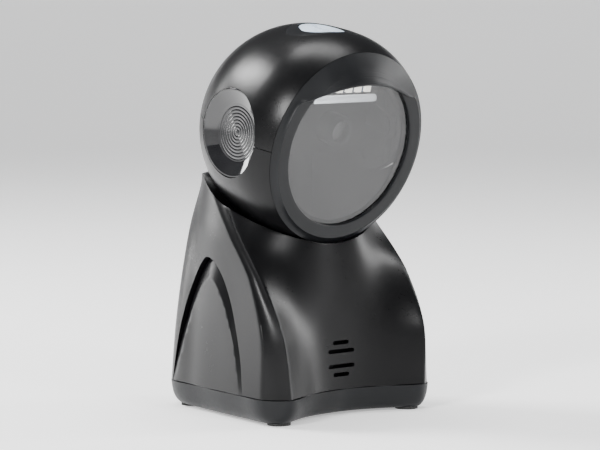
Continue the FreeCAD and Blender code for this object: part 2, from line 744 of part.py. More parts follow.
def neck_slot():
    """Sector of a drum about the tilt axis: where the neck passes the lower shell at every tilt."""
    margin = "1.5"
    half = "asin((neck_radius + neck_clearance) / ball_radius) / 1 deg"
    lean = "asin(neck_offset / ball_radius) / 1 deg"
    drum = doc.addObject("Part::Cylinder", "neck_slot")
    bind(drum, "Radius", "ball_radius + 10")
    width = "(neck_radius + neck_clearance) * 2"
    bind(drum, "Height", width)
    bind(drum, "Angle", f"({half} * 2 + tilt_up + tilt_down + {margin} * 2) * 1 deg")
    front = f"-90 - head_pitch + {lean} - {half} - tilt_down - {margin}"
    start = Rotation(X_AXIS, size(front))
    drum.Placement = Placement(Vector(-size(width) / 2, 0, 0), start * Rotation(Vector(1, 1, 1), 120))
    return drum


def shells():
    """The two halves of the head, each a wall of even thickness with its share of the openings."""
    outside = head_volume("head_outside", "0")
    inside = head_volume("head_inside", "shell_wall")
    mouth = turned(
        "barrel_mouth",
        [
            ("0", "-barrel_length - 5"),
            (f"{FACE_EDGE} + 0.6", "-barrel_length - 5"),
            (f"{FACE_EDGE} + 0.6", "-barrel_length + 5"),
            ("0", "-barrel_length + 5"),
        ],
    )
    wall = cut("head_wall", outside, inside, mouth)
    cap_holes = []
    for side in (-1, 1):
        start = "ball_radius - 14" if side > 0 else "-ball_radius - 1"
        cap_holes.append(along_x(f"cap_hole_{side}", "cap_radius + 0.05", "15", start))
    open_wall = cut("head_open_wall", wall, *cap_holes)

    upper = common("upper_half", open_wall, half_space("upper_space", True))
    oval = well_prism("well_hole", "0.05", "20")
    bosses = [
        cylinder(f"upper_boss_{s}", "3", "35", f"{s} * {REAR_SCREW_X}", REAR_SCREW_Y, "2")
        for s in (-1, 1)
    ]
    inner_bosses = common("upper_bosses", group("upper_boss_pair", *bosses), head_volume("boss_trim", "1"))
    pilots = [
        cylinder(f"upper_pilot_{s}", "screw_radius", "8", f"{s} * {REAR_SCREW_X}", REAR_SCREW_Y, "1")
        for s in (-1, 1)
    ]
    upper_whole = fused("upper_whole", cut("upper_open", upper, oval), inner_bosses)
    keep(cut("upper_drilled", upper_whole, *pilots), "head_upper_shell", in_head=True)

    lower = common("lower_half", open_wall, half_space("lower_space", False))
    tubes = [
        cylinder(f"lower_tube_{s}", "4.2", "40", f"{s} * {REAR_SCREW_X}", REAR_SCREW_Y, "-42")
        for s in (-1, 1)
    ]
    inner_tubes = common("lower_tubes", group("lower_tube_pair", *tubes), head_volume("tube_trim", "1"))
    wells = [
        cylinder(f"lower_well_{s}", "2.7", "30", f"{s} * {REAR_SCREW_X}", REAR_SCREW_Y, "-38")
        for s in (-1, 1)
    ]
    holes = [
        cylinder(f"lower_hole_{s}", "screw_radius + 0.2", "20", f"{s} * {REAR_SCREW_X}", REAR_SCREW_Y, "-12")
        for s in (-1, 1)
    ]
    lower_whole = fused("lower_whole", lower, inner_tubes)
    keep(cut("lower_drilled", lower_whole, neck_slot(), *wells, *holes), "head_lower_shell", in_head=True)

    fixings = [
        screw(f"head_screw_{s}", "15", f"{s} * {REAR_SCREW_X}", REAR_SCREW_Y, "-8")
        for s in (-1, 1)
    ]
    keep(group("head_screw_set", *fixings), "head_screws", in_head=True)


def pivot_cap(side):
    """Dished cap that fills the hole in the side of the ball."""
    face = "sqrt(ball_radius * ball_radius - cap_radius * cap_radius)"
    profile = [
        ("0", f"{face} - cap_thickness"),
        ("cap_radius", f"{face} - cap_thickness"),
        ("cap_radius", face),
        ("cap_radius - 0.8", face),
        ("cap_flat", f"{face} - cap_dish"),
        ("0", f"{face} - cap_dish"),
    ]
    name = "right_cap" if side > 0 else "left_cap"
    blank = turned(name, profile)
    # Turn the cap's own Y axis to point out along X.
    blank.Placement = Placement(Vector(), Rotation(Z_AXIS, -90 * side))
    keep(blank, "right_pivot_cap" if side > 0 else "left_pivot_cap", in_head=True)


# ---------------------------------------------------------------- bezel, brow and window


def front_bezel():
    """Collar with a skirt inside the barrel, a flat face and a brow cut from a dome."""
    skirt_end = "-barrel_length + 4.9"
    seam = "-barrel_length - 0.2"
    pane_pocket = f"{WINDOW_RADIUS} + pane_margin + 0.1"
    ring = turned(
        "bezel_ring",
        [
            (WINDOW_RADIUS, "-bezel_face"),
            (WINDOW_RADIUS, PANE_FRONT),
            (pane_pocket, PANE_FRONT),
            (pane_pocket, skirt_end),
            (f"{FACE_EDGE} + 0.5", skirt_end),
            (f"{FACE_EDGE} + 0.5", seam),
            (RIM, seam),
            (FACE_EDGE, "-bezel_face"),
        ],
        {6: "-3.4"},
    )
    lip = "bezel_face + brow_reach"
    shell = turned(
        "brow_dome",
        [
            (f"{RIM} - 0.15", "-barrel_length - 0.3"),
            (BROW_RADIUS, f"-({lip})"),
            (f"{BROW_RADIUS} - brow_wall * 0.6", f"-({lip}) + brow_wall"),
            (f"{RIM} - 0.15 - brow_wall * 1.3", "-barrel_length - 0.3"),
        ],
        {0: "-60", 2: "50"},
    )
    slope = f"brow_reach / ({BROW_RADIUS} - brow_root)"
    keep_above = padded(
        "brow_bound",
        [
            ("-barrel_length", "brow_root"),
            ("-bezel_face + 0.3", "brow_root"),
            (f"-({lip}) - {slope} * 14", f"{BROW_RADIUS} + 14"),
            ("-barrel_length", f"{BROW_RADIUS} + 14"),
        ],
        f"{HALF_SPACE}",
        role="YZ_Plane",
    )
    brow = common("brow", shell, keep_above)
    keep(fused("bezel_whole", ring, brow), "front_bezel", in_head=True)


def window():
    """Tinted pane behind the bezel's flange and the foam ring that backs it."""
    pane_radius = f"{WINDOW_RADIUS} + pane_margin"
    back = f"{PANE_FRONT} + pane_thickness"
    pane = turned(
        "pane",
        [("0", PANE_FRONT), (pane_radius, PANE_FRONT), (pane_radius, back), ("0", back)],
    )
    keep(pane, "window_pane", in_head=True)
    gasket = turned(
        "gasket",
        [
            (f"{WINDOW_RADIUS} - 1.4", back),
            (pane_radius, back),
            (pane_radius, f"{back} + 1"),
            (f"{WINDOW_RADIUS} - 1.4", f"{back} + 1"),
        ],
    )
    keep(gasket, "window_gasket", in_head=True)


# ---------------------------------------------------------------- button


def well_prism(name, more, height):
    """An upright oval prism through the top of the head."""
    made = doc.addObject("Part::Ellipse", name + "_outline")
    bind(made, "MajorRadius", f"well_length / 2 + {more}")
    bind(made, "MinorRadius", f"well_width / 2 + {more}")
    solid = doc.addObject("Part::Extrusion", name)
    solid.Base = made
    solid.Dir = Z_AXIS
    solid.Solid = True
    bind(solid, "LengthFwd", height)
    return place(solid, z="ball_radius - 10")


STEM_END = f"({BUTTON_TOP} - 5.4)"
CROWN_BOTTOM = f"({BUTTON_TOP} - 3.2)"
SWITCH_TOP = f"({STEM_END} - button_travel - 0.1)"
SWITCH_HEIGHT = 4.1
SWITCH_BOARD_TOP = f"({SWITCH_TOP} - {SWITCH_HEIGHT})"


def button():
    """Round button in a dished oval seat, with its spring, switch and switch board."""
    oval = well_prism("well_blank", "0", "20")
    top = common("well_domed", oval, head_volume("well_skin", "0.05"))
    dish = doc.addObject("Part::Ellipsoid", "well_dish")
    bind(dish, "Radius1", "6")
    bind(dish, "Radius2", "well_length / 2 - 0.6")
    bind(dish, "Radius3", "well_width / 2 - 0.6")
    place(dish, z="ball_radius + 3.0")
    hole = cylinder("well_bore", "button_radius + button_gap", "20", z="ball_radius - 8.5")
    below = sphere("well_below", "ball_radius - shell_wall - 2.6")
    post_height = f"{BUTTON_TOP} - 4.3 - {SWITCH_BOARD_TOP}"
    posts = [
        box(f"well_post_{s}", "4", "3", post_height, x=f"{s} * 13", z=SWITCH_BOARD_TOP) for s in (-1, 1)
    ]
    seat = cut("well_seat", top, dish, hole, below)
    keep(fused("well_whole", seat, *posts), "button_well", in_head=True)

    crown = turned(
        "button_crown",
        [
            ("0", CROWN_BOTTOM),
            ("button_radius", CROWN_BOTTOM),
            ("button_radius", f"{BUTTON_TOP} - 0.9"),
            ("0", BUTTON_TOP),
        ],
        {2: "button_radius * button_radius / 1.8 + 0.45"},
    )
    crown.Placement = Placement(Vector(), Rotation(X_AXIS, 90))
    stem = cylinder("button_stem", "1.9", f"{CROWN_BOTTOM} - {STEM_END} + 0.1", z=STEM_END)
    keep(fused("button_whole", crown, stem), "trigger_button", in_head=True)

    spring_length = f"{CROWN_BOTTOM} - {SWITCH_BOARD_TOP}"
    outer = cylinder("spring_outer", "4.6", spring_length, z=SWITCH_BOARD_TOP)
    inner = cylinder("spring_inner", "3.8", f"{spring_length} + 2", z=f"{SWITCH_BOARD_TOP} - 1")
    keep(cut("spring_sleeve", outer, inner), "button_spring", in_head=True)

    case = box("switch_case", "5", "4.4", f"{SWITCH_HEIGHT} - 0.9", z=SWITCH_BOARD_TOP)
    plunger = cylinder("switch_plunger", "1.4", "1.0", z=f"{SWITCH_TOP} - 1.0")
    keep(fused("switch_whole", case, plunger), "button_switch", in_head=True)
    board = box("switch_board_blank", "30", "16", "1.6", z=f"{SWITCH_BOARD_TOP} - 1.6")
    keep(board, "switch_board", in_head=True)


# ---------------------------------------------------------------- optics and boards


def optics_frame():
    """Chassis with a front plate, two ears on the tilt axis, arms to the rear and two screw lugs."""
    plate = box("frame_plate", "38", "2", "28", y="-11.5", z="-5.5")
    ears = []
    for s in (-1, 1):
        x = f"{s} * (ear_inner + ear_thickness / 2)"
        reach = f"({REAR_SCREW_Y} + 8)"
        ears.append(box(f"frame_arm_{s}", "ear_thickness", reach, "10", x=x, y=f"{reach} / 2 - 12.5", z="-5"))
        ears.append(box(f"frame_tongue_{s}", "ear_thickness", "8", "4", x=x, y=f"{REAR_SCREW_Y} - 4", z="-2"))
        start = "ear_inner" if s > 0 else "-ear_inner - ear_thickness"
        ears.append(along_x(f"frame_ear_{s}", "hub_radius", "ear_thickness", start))
        lug_x = f"{s} * {REAR_SCREW_X}"
        ears.append(cylinder(f"frame_lug_{s}", "4", "4", lug_x, REAR_SCREW_Y, "-2"))
    whole = fused("frame_whole", plate, *ears)
    bores = []
    for s in (-1, 1):
        start = "ear_inner - 1" if s > 0 else "-ear_inner - ear_thickness - 1"
        bores.append(along_x(f"ear_bore_{s}", "axle_radius + 1.6", "ear_thickness + 2", start))
        x = f"{s} * {REAR_SCREW_X}"
        bores.append(cylinder(f"lug_hole_{s}", "screw_radius + 0.2", "12", x, REAR_SCREW_Y, "-6"))
    eye = along_y("lens_hole", "6.4", "6", y="-14", z="5")
    keep(cut("frame_drilled", whole, *bores, eye), "optics_frame", in_head=True)


def camera():
    """Sensor board behind the frame's plate, with its lens in front."""
    keep(box("camera_board_blank", "26", "1.6", "18", y="-9.7", z="-4"), "camera_board", in_head=True)
    keep(box("sensor_blank", "8", "1.6", "8", y="-11.3", z="1"), "image_sensor", in_head=True)
    barrel = turned(
        "lens_tube",
        [
            ("4.6", "-12.1"),
            ("6.3", "-12.1"),
            ("6.3", "-19"),
            ("5.4", "-19.6"),
            ("4.2", "-19.6"),
            ("4.2", "-16.6"),
            ("4.6", "-16.6"),
        ],
    )
    keep(place(barrel, z="5"), "lens_barrel", in_head=True)
    disc = along_y("lens_disc", "4.15", "2.8", y="-17.8", z="5")
    dome = sphere("lens_dome", "7.8", y="-10", z="5")
    keep(common("lens_glass", disc, dome), "lens_element", in_head=True)


LIGHT_Y = "-17.6"


def lighting():
    """Board under the roof of the barrel with its row of lights, the clear bar and its posts."""
    board_z = f"{WINDOW_RADIUS} - 11.5"
    board = box("light_board_blank", "40", "1.6", "7.5", y="-13.3", z=board_z)
    keep(board, "led_board", in_head=True)
    chips = [
        box(f"led_{i}", "2.8", "1.2", "3.2", x=f"{(i - 3) * 4.8}", y="-14.7", z=f"{board_z} + 0.25")
        for i in range(7)
    ]
    keep(group("led_set", *chips), "led_chips", in_head=True)
    bar = along_x("bar_rod", "1.5", "32.2", "-16.1", LIGHT_Y, f"{board_z} - 1.4")
    keep(bar, "light_bar", in_head=True)
    posts = []
    for s in (-1, 1):
        post = box(f"bar_post_{s}", "3", "5", "5.4", x=f"{s} * 17.6", y="-16.6", z=f"{board_z} - 3.4")
        posts.append(post)
    keep(group("bar_posts", *posts), "light_bar_posts", in_head=True)


def decoder():
    """Main board at the back of the head and the packages on it."""
    middle = f"({REAR_SCREW_Y} + 0.8)"
    board = box("decoder_blank", "29.5", "1.6", "32", y=middle, z="-14")
    keep(board, "decoder_board", in_head=True)
    chips = [
        box("chip_cpu", "13", "1.4", "13", x="-1", y=f"{middle} + 1.5", z="-2"),
        box("chip_memory", "8", "1.2", "10", x="-2", y=f"{middle} + 1.4", z="-13"),
        box("chip_link", "12", "3.6", "4", x="4", y=f"{middle} - 2.6", z="12"),
    ]
    keep(group("decoder_chip_set", *chips), "decoder_chips", in_head=True)


def check_and_write():
    """Stops on any failed object, then writes each piece to its own file."""
    doc.recompute()
    for thing in doc.Objects:
        if "Invalid" in thing.State or "Error" in thing.State:
            raise RuntimeError(f"{thing.Name} failed: {thing.State}")
    os.makedirs("parts", exist_ok=True)
    for old in os.listdir("parts"):
        if old.endswith(".step"):
            os.remove(os.path.join("parts", old))
    for piece in pieces:
        shape = piece.Shape
        if shape.isNull() or not shape.isValid() or not shape.Solids:
            raise RuntimeError(f"{piece.Label} has no valid solid")
        shape.exportStep(os.path.join("parts", piece.Label + ".step"))
        print(f"{piece.Label}: {len(shape.Solids)} solid(s), {shape.Volume:.0f} mm3")


fill_sheet()
base_cover()
base_tray()
rubber_feet()
base_screws()
ballast()
interface_board()
speaker()
neck()
tilt_mechanism()
shells()
pivot_cap(-1)
pivot_cap(1)
front_bezel()
window()
button()
optics_frame()
camera()
lighting()
decoder()
check_and_write()
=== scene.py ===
"""Looks of a hands-free barcode scanner: a tilting ball head on a winged base, round its CAD part."""

import json
import math

import bmesh
import bpy
from bpy.props import FloatProperty, FloatVectorProperty, IntProperty, PointerProperty
from mathutils import Matrix, Vector
from mathutils.bvhtree import BVHTree


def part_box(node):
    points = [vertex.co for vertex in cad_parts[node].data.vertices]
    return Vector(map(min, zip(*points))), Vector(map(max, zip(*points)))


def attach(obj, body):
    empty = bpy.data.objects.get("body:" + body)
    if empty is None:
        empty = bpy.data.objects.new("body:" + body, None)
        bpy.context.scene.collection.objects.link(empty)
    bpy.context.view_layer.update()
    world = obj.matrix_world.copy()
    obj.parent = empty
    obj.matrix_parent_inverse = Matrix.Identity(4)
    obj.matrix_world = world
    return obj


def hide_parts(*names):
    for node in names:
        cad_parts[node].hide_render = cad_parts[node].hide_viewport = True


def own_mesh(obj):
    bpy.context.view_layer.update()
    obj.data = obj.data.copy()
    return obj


bl_info = {
    "name": "Hands-free barcode scanner",
    "version": (1, 0, 0),
    "blender": (4, 5, 0),
    "location": "3D View > Sidebar > Scanner",
    "description": "Builds the finished pieces of a counter-top barcode scanner round its CAD frame",
    "category": "Object",
}

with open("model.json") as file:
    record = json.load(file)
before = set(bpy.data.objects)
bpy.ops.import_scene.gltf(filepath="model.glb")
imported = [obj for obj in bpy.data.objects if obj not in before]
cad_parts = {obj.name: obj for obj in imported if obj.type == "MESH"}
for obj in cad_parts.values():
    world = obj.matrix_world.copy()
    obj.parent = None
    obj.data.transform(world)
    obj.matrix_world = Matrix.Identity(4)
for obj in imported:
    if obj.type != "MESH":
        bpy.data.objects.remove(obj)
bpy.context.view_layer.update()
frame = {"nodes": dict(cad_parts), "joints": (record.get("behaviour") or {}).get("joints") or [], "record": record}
MM = 0.001
JOINTS = {joint["name"]: joint for joint in frame["joints"]}

# The head's own axes: centre of the ball, up through the button, forward through the window.
BALL = Vector(JOINTS["head_tilt"]["pos_m"])
UP = -Vector(JOINTS["button_press"]["axis"]).normalized()
ACROSS = Vector((1, 0, 0))
FORWARD = ACROSS.cross(UP)
PITCH = math.atan2(-FORWARD.z, -FORWARD.y)


def node_span(node, direction, origin=BALL):
    """Nearest and farthest reach of a CAD node along a direction from a point."""
    reach = [(vertex.co - origin).dot(direction) for vertex in frame["nodes"][node].data.vertices]
    return min(reach), max(reach)


BEZEL_BACK, LIP_REACH = node_span("front_bezel", FORWARD)
RIM_RADIUS = node_span("front_bezel", ACROSS)[1]
PANE_FACE = node_span("window_pane", FORWARD)[1]
PANE_RADIUS = node_span("window_pane", ACROSS)[1]
BARREL_END = node_span("head_upper_shell", FORWARD)[1]
CAP_RADIUS = node_span("left_pivot_cap", UP)[1]
CAP_INNER, CAP_FACE = node_span("right_pivot_cap", ACROSS)
FACE_EDGE = RIM_RADIUS - 2.65 * MM
WINDOW_RADIUS = FACE_EDGE - 5.1 * MM
BROW_INNER = WINDOW_RADIUS - 2.7 * MM
BROW_ROOT = 19.5 * MM
RING_STEPS, DOME_STEPS = 22, 120  # points on the bezel's rounded edge, and on the brow's dome
BUTTON_TOP = node_span("trigger_button", UP)[1]
BUTTON_RADIUS = node_span("trigger_button", ACROSS)[1]


# ---------------------------------------------------------------- sizes and colours


class ScannerColours(bpy.types.PropertyGroup):
    """Colours of the scanner's finishes."""

    shell: FloatVectorProperty(
        name="Shell", description="Moulded black of the ball and the base", subtype="COLOR",
        size=3, min=0, max=1, default=(0.0030, 0.0030, 0.0034),
    )
    bezel: FloatVectorProperty(
        name="Bezel", description="Softer dark gray of the bezel and the tray", subtype="COLOR",
        size=3, min=0, max=1, default=(0.0075, 0.008, 0.009),
    )
    button: FloatVectorProperty(
        name="Button", description="Pale translucent blue-white of the trigger button", subtype="COLOR",
        size=3, min=0, max=1, default=(0.62, 0.72, 0.84),
    )
    board: FloatVectorProperty(
        name="Boards", description="Solder mask of the circuit boards", subtype="COLOR",
        size=3, min=0, max=1, default=(0.012, 0.040, 0.115),
    )


class ScannerSizes(bpy.types.PropertyGroup):
    """Sizes that the CAD frame leaves to the looks."""

    lip_radius: FloatProperty(
        name="Lip radius", description="Half of the brow's rounded lip", unit="LENGTH",
        default=0.8 * MM, min=0.2 * MM, max=1.5 * MM,
    )
    cap_grooves: IntProperty(
        name="Cap grooves", description="Rings turned into each pivot cap", default=8, min=1, max=14,
    )
    groove_depth: FloatProperty(
        name="Groove depth", description="Depth of one ring in a pivot cap", unit="LENGTH",
        default=0.16 * MM, min=0.02 * MM, max=0.5 * MM,
    )
    brow_lines: IntProperty(
        name="Brow lines", description="Fine rings moulded on the brow", default=5, min=0, max=9,
    )
    camera_distance: FloatProperty(
        name="Camera distance", description="From the lens to the point looked at", unit="LENGTH",
        default=1.23, min=0.3, max=5,
    )


def sizes():
    return bpy.context.scene.scanner_sizes


def colours():
    return bpy.context.scene.scanner_colours


# ---------------------------------------------------------------- finishes


class Finish:
    """A material's node tree while it is being wired."""

    def __init__(self, name):
        self.material = bpy.data.materials.new(name)
        self.material.use_nodes = True
        self.tree = self.material.node_tree
        self.shader = self.tree.nodes["Principled BSDF"]
        self.coords = self.tree.nodes.new("ShaderNodeTexCoord").outputs["Object"]

    def node(self, kind, links=None, **settings):
        made = self.tree.nodes.new("ShaderNode" + kind)
        for key, value in settings.items():
            setattr(made, key, value)
        for key, value in (links or {}).items():
            if isinstance(value, bpy.types.NodeSocket):
                self.tree.links.new(value, made.inputs[key])
            else:
                made.inputs[key].default_value = value
        return made

    def noise(self, size_mm, detail=2.0, roughness=0.5):
        links = {"Vector": self.coords, "Scale": 1 / (size_mm * MM), "Detail": detail, "Roughness": roughness}
        return self.node("TexNoise", links).outputs["Fac"]

    def spread(self, value, low, high, start=0.3, end=0.7):
        links = {"Value": value, "From Min": start, "From Max": end, "To Min": low, "To Max": high}
        return self.node("MapRange", links).outputs["Result"]

    def blend_colour(self, factor, first, second):
        mix = self.node("Mix", data_type="RGBA")
        self.tree.links.new(factor, mix.inputs[0])
        mix.inputs[6].default_value = (*first, 1)
        mix.inputs[7].default_value = (*second, 1)
        self.tree.links.new(mix.outputs[2], self.shader.inputs["Base Color"])

    def bump(self, height, depth_mm, after=None):
        links = {"Height": height, "Distance": depth_mm * MM, "Strength": 1.0}
        if after is not None:
            links["Normal"] = after
        return self.node("Bump", links).outputs["Normal"]

    def wire(self, **sockets):
        for name, value in sockets.items():
            socket = self.shader.inputs[name.replace("_", " ")]
            if isinstance(value, bpy.types.NodeSocket):
                self.tree.links.new(value, socket)
            else:
                socket.default_value = value


def shade(colour, factor):
    return tuple(min(1.0, channel * factor) for channel in colour)


def moulded_plastic(name, colour, low, high, grain_mm=0.42, grain_depth=0.017):
    """Injection-moulded plastic: fine spark-eroded grain, uneven sheen and faint handling marks."""
    finish = Finish(name)
    patches = finish.noise(24, 2)
    flecks = finish.noise(grain_mm, 2, 0.6)
    marks = finish.noise(1.3, 4, 0.6)
    both = finish.node("Math", {0: patches, 1: marks}, operation="MULTIPLY").outputs[0]
    finish.blend_colour(finish.spread(patches, 0, 1), shade(colour, 0.86), shade(colour, 1.18))
    rough = finish.spread(both, low, high, 0.12, 0.38)
    grain = finish.bump(flecks, grain_depth)
    waves = finish.bump(finish.noise(30, 1), 0.005, grain)
    finish.wire(Roughness=rough, Normal=waves, IOR=1.5, Specular_IOR_Level=0.2)
    return finish.material


def piano_black(name):
    """Polished black plastic with fingerprints and hairline marks that only the gloss shows."""
    finish = Finish(name)
    smear = finish.noise(7, 5, 0.62)
    finish.blend_colour(finish.spread(smear, 0, 1), (0.006, 0.006, 0.007), (0.012, 0.012, 0.013))
    rough = finish.spread(smear, 0.045, 0.12, 0.4, 0.75)
    finish.wire(Roughness=rough, Normal=finish.bump(finish.noise(2.4, 1), 0.0012), IOR=1.52)
    finish.wire(Coat_Weight=0.6, Coat_Roughness=0.03)
    return finish.material


def brushed_metal(name, colour, low, high, size_mm=0.5):
    finish = Finish(name)
    streak = finish.noise(size_mm, 4, 0.7)
    finish.blend_colour(finish.spread(streak, 0, 1), shade(colour, 0.82), shade(colour, 1.08))
    finish.wire(Roughness=finish.spread(streak, low, high), Normal=finish.bump(streak, 0.006), Metallic=1.0)
    return finish.material


def rubber(name, colour, grain_mm, depth_mm):
    finish = Finish(name)
    grain = finish.noise(grain_mm, 3, 0.7)
    dust = finish.noise(5, 4, 0.6)
    finish.blend_colour(finish.spread(dust, 0, 1), colour, shade(colour, 1.6))
    finish.wire(Roughness=finish.spread(dust, 0.62, 0.86), Normal=finish.bump(grain, depth_mm), IOR=1.48)
    return finish.material


def circuit_board(name, colour):
    """Solder mask over copper: straight tracks stand a little proud and look lighter."""
    finish = Finish(name)
    step = finish.node("VectorMath", {0: finish.coords, 1: (0.9 * MM, 0.9 * MM, 0.9 * MM)}, operation="SNAP")
    cells = finish.node("TexWhiteNoise", {"Vector": step.outputs[0]}, noise_dimensions="3D").outputs["Value"]
    tracks = finish.spread(cells, 0, 1, 0.55, 0.6)
    finish.blend_colour(tracks, colour, shade(colour, 1.7))
    gloss = finish.spread(finish.noise(2.0, 3), 0.22, 0.4)
    finish.wire(Roughness=gloss, Normal=finish.bump(tracks, 0.02))
    return finish.material


def smoked_window(name):
    """Smoked acrylic: seen through from near, and mirror-smooth."""
    finish = Finish(name)
    haze = finish.noise(11, 4)
    finish.blend_colour(finish.spread(haze, 0, 1), (0.012, 0.012, 0.014), (0.022, 0.022, 0.024))
    finish.wire(Roughness=finish.spread(haze, 0.02, 0.05), Normal=finish.bump(finish.noise(16, 1), 0.0006))
    finish.wire(IOR=2.0, Alpha=0.5)
    return finish.material


def clear_acrylic(name, painted_glow=0.0):
    """Clear moulded acrylic; a light guide also gets a painted glow, an emission that stands in for light from the
    lamps beside it.
    """
    finish = Finish(name)
    streak = finish.noise(1.6, 3)
    finish.blend_colour(finish.spread(streak, 0, 1), (0.86, 0.88, 0.90), (0.95, 0.96, 0.97))
    finish.wire(Roughness=finish.spread(streak, 0.02, 0.08), Normal=finish.bump(streak, 0.004))
    finish.wire(IOR=1.49, Transmission_Weight=0.6)
    # Painted glow: the light guide is no lamp, and its emission stands in for lamp light passing through it.
    if painted_glow:
        finish.wire(Emission_Color=(0.92, 0.96, 1.0, 1), Emission_Strength=painted_glow)
    return finish.material


def frosted_button(name, colour):
    """Milky button plastic that lets light bleed through its rim."""
    finish = Finish(name)
    cloud = finish.noise(6, 3)
    finish.blend_colour(finish.spread(cloud, 0, 1), shade(colour, 0.94), shade(colour, 1.06))
    satin = finish.bump(finish.noise(0.4, 2, 0.6), 0.006)
    finish.wire(Roughness=finish.spread(cloud, 0.24, 0.36), Normal=satin, IOR=1.5)
    finish.wire(Subsurface_Weight=0.35, Subsurface_Scale=2.5 * MM, Subsurface_Radius=(1.0, 1.1, 1.3))
    return finish.material


def lamp_face(name):
    """White lamp packages with a warm phosphor in the middle of each, and a painted glow that stands in for the
    light that cannot reach them behind the smoked window.
    """
    finish = Finish(name)
    phosphor = finish.noise(1.2, 3)
    finish.blend_colour(finish.spread(phosphor, 0, 1), (0.93, 0.90, 0.74), (0.98, 0.97, 0.93))
    finish.wire(Roughness=finish.spread(phosphor, 0.3, 0.5), Normal=finish.bump(phosphor, 0.02))
    # Painted glow: the emission stands in for light falling on the lamps behind the smoked window.
    finish.wire(Emission_Color=(1.0, 0.97, 0.88, 1), Emission_Strength=5.0)
    return finish.material


def ringed_plastic(name, colour):
    """Bezel plastic whose brow carries fine rings about the head's forward axis."""
    finish = Finish(name)
    turn = Matrix.Rotation(-PITCH, 3, "X")
    shift = -(turn @ BALL)
    own = finish.node("Mapping", {"Vector": finish.coords, "Location": shift, "Rotation": (-PITCH, 0, 0)})
    flat = finish.node("VectorMath", {0: own.outputs[0], 1: (1, 0, 1)}, operation="MULTIPLY")
    radius = finish.node("VectorMath", {0: flat.outputs[0]}, operation="LENGTH").outputs["Value"]
    pitch = (RIM_RADIUS - BROW_INNER) / (sizes().brow_lines + 1)
    turns = finish.node("Math", {0: radius, 1: 2 * math.pi / pitch}, operation="MULTIPLY").outputs[0]
    wave = finish.node("Math", {0: turns}, operation="SINE").outputs[0]
    groove = finish.spread(wave, 0, 1, 0.86, 1.0)
    parts = finish.node("SeparateXYZ", {0: own.outputs[0]})
    front = finish.spread(parts.outputs["Y"], 1, 0, -LIP_REACH + 0.2 * MM, -BARREL_END - 2.2 * MM)
    lines = finish.node("Math", {0: groove, 1: front}, operation="MULTIPLY").outputs[0]
    patches = finish.noise(12, 3)
    finish.blend_colour(finish.spread(patches, 0, 1), shade(colour, 0.88), shade(colour, 1.15))
    grain = finish.bump(finish.noise(0.3, 2, 0.6), 0.008)
    ringed = finish.bump(lines, -0.05, grain)
    finish.wire(Roughness=finish.spread(patches, 0.30, 0.40), Normal=ringed, IOR=1.5, Specular_IOR_Level=0.2)
    return finish.material


FINISHES = {}


def make_finishes():
    """Fills FINISHES, one material for each slot of the record."""
    tint = colours()
    shell, bezel, board = tuple(tint.shell), tuple(tint.bezel), tuple(tint.board)
    FINISHES.update(
        cover_plastic=moulded_plastic("cover_plastic_satin_black", shell, 0.27, 0.33),
        shell_plastic=moulded_plastic("shell_plastic_satin_black", shell, 0.27, 0.33),
        tray_plastic=moulded_plastic("tray_plastic_dark_gray", bezel, 0.36, 0.48, 0.3, 0.010),
        bezel_plastic=ringed_plastic("bezel_plastic_dark_gray", bezel),
        cap_plastic=piano_black("cap_plastic_gloss_black"),
        window_tint=smoked_window("window_smoked_acrylic"),
        button_plastic=frosted_button("button_frosted_plastic", tuple(tint.button)),
        foam=rubber("foam_ring_black", (0.010, 0.010, 0.010), 0.5, 0.08),
        foot_rubber=rubber("foot_rubber_black", (0.016, 0.016, 0.016), 0.35, 0.03),
        steel=brushed_metal("steel_zinc_plated", (0.62, 0.63, 0.64), 0.22, 0.38),
        ballast_steel=brushed_metal("ballast_steel_raw", (0.34, 0.34, 0.35), 0.38, 0.60, 1.4),
        nylon=moulded_plastic("nylon_natural", (0.62, 0.60, 0.54), 0.38, 0.52, 0.5, 0.006),
        frame_plastic=moulded_plastic("frame_plastic_black", (0.007, 0.007, 0.008), 0.42, 0.58),
        circuit_board=circuit_board("circuit_board_blue", board),
        chip_plastic=moulded_plastic("chip_epoxy_black", (0.012, 0.012, 0.013), 0.45, 0.60, 0.2),
        # The lamp packages carry a painted glow.
        lamp_plastic=lamp_face("lamp_packages_white"),
        # The light bar carries a painted glow.
        clear_rod=clear_acrylic("light_bar_acrylic", 1.5),
        lens_glass=clear_acrylic("lens_coated_glass"),
        lens_metal=brushed_metal("lens_barrel_anodised", (0.05, 0.05, 0.055), 0.30, 0.42, 0.3),
    )


SLOTS = {part["node"]: part["material_slot"] for part in frame["record"]["subparts"]}


# ---------------------------------------------------------------- mesh helpers


def body_with(node):
    return next(body for body, nodes in frame["record"]["behaviour"]["bodies"].items() if node in nodes)


def stand_for(piece, node, *others):
    """Puts a finished piece in place of its CAD node: its body, its slot and its material."""
    piece.data.materials.clear()
    piece.data.materials.append(FINISHES[SLOTS[node]])
    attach(piece, body_with(node))
    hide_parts(node, *others)


def new_piece(name, mesh):
    piece = bpy.data.objects.new(name, mesh)
    bpy.context.scene.collection.objects.link(piece)
    return piece


def smooth(mesh, crease):
    """Smooth shading, except over edges sharper than the crease in degrees."""
    mesh.shade_smooth()
    mesh.set_sharp_from_angle(angle=math.radians(crease))


def smoothed_copy(name, node, crease=28.0):
    """A copy of a CAD node, merged and shaded smooth except over edges sharper than the crease."""
    mesh = frame["nodes"][node].data.copy()
    work = bmesh.new()
    work.from_mesh(mesh)
    bmesh.ops.remove_doubles(work, verts=work.verts, dist=0.002 * MM)
    bmesh.ops.dissolve_degenerate(work, edges=work.edges, dist=0.001 * MM)
    work.to_mesh(mesh)
    work.free()
    smooth(mesh, crease)
    piece = new_piece(name, mesh)
    stand_for(piece, node)
    return piece


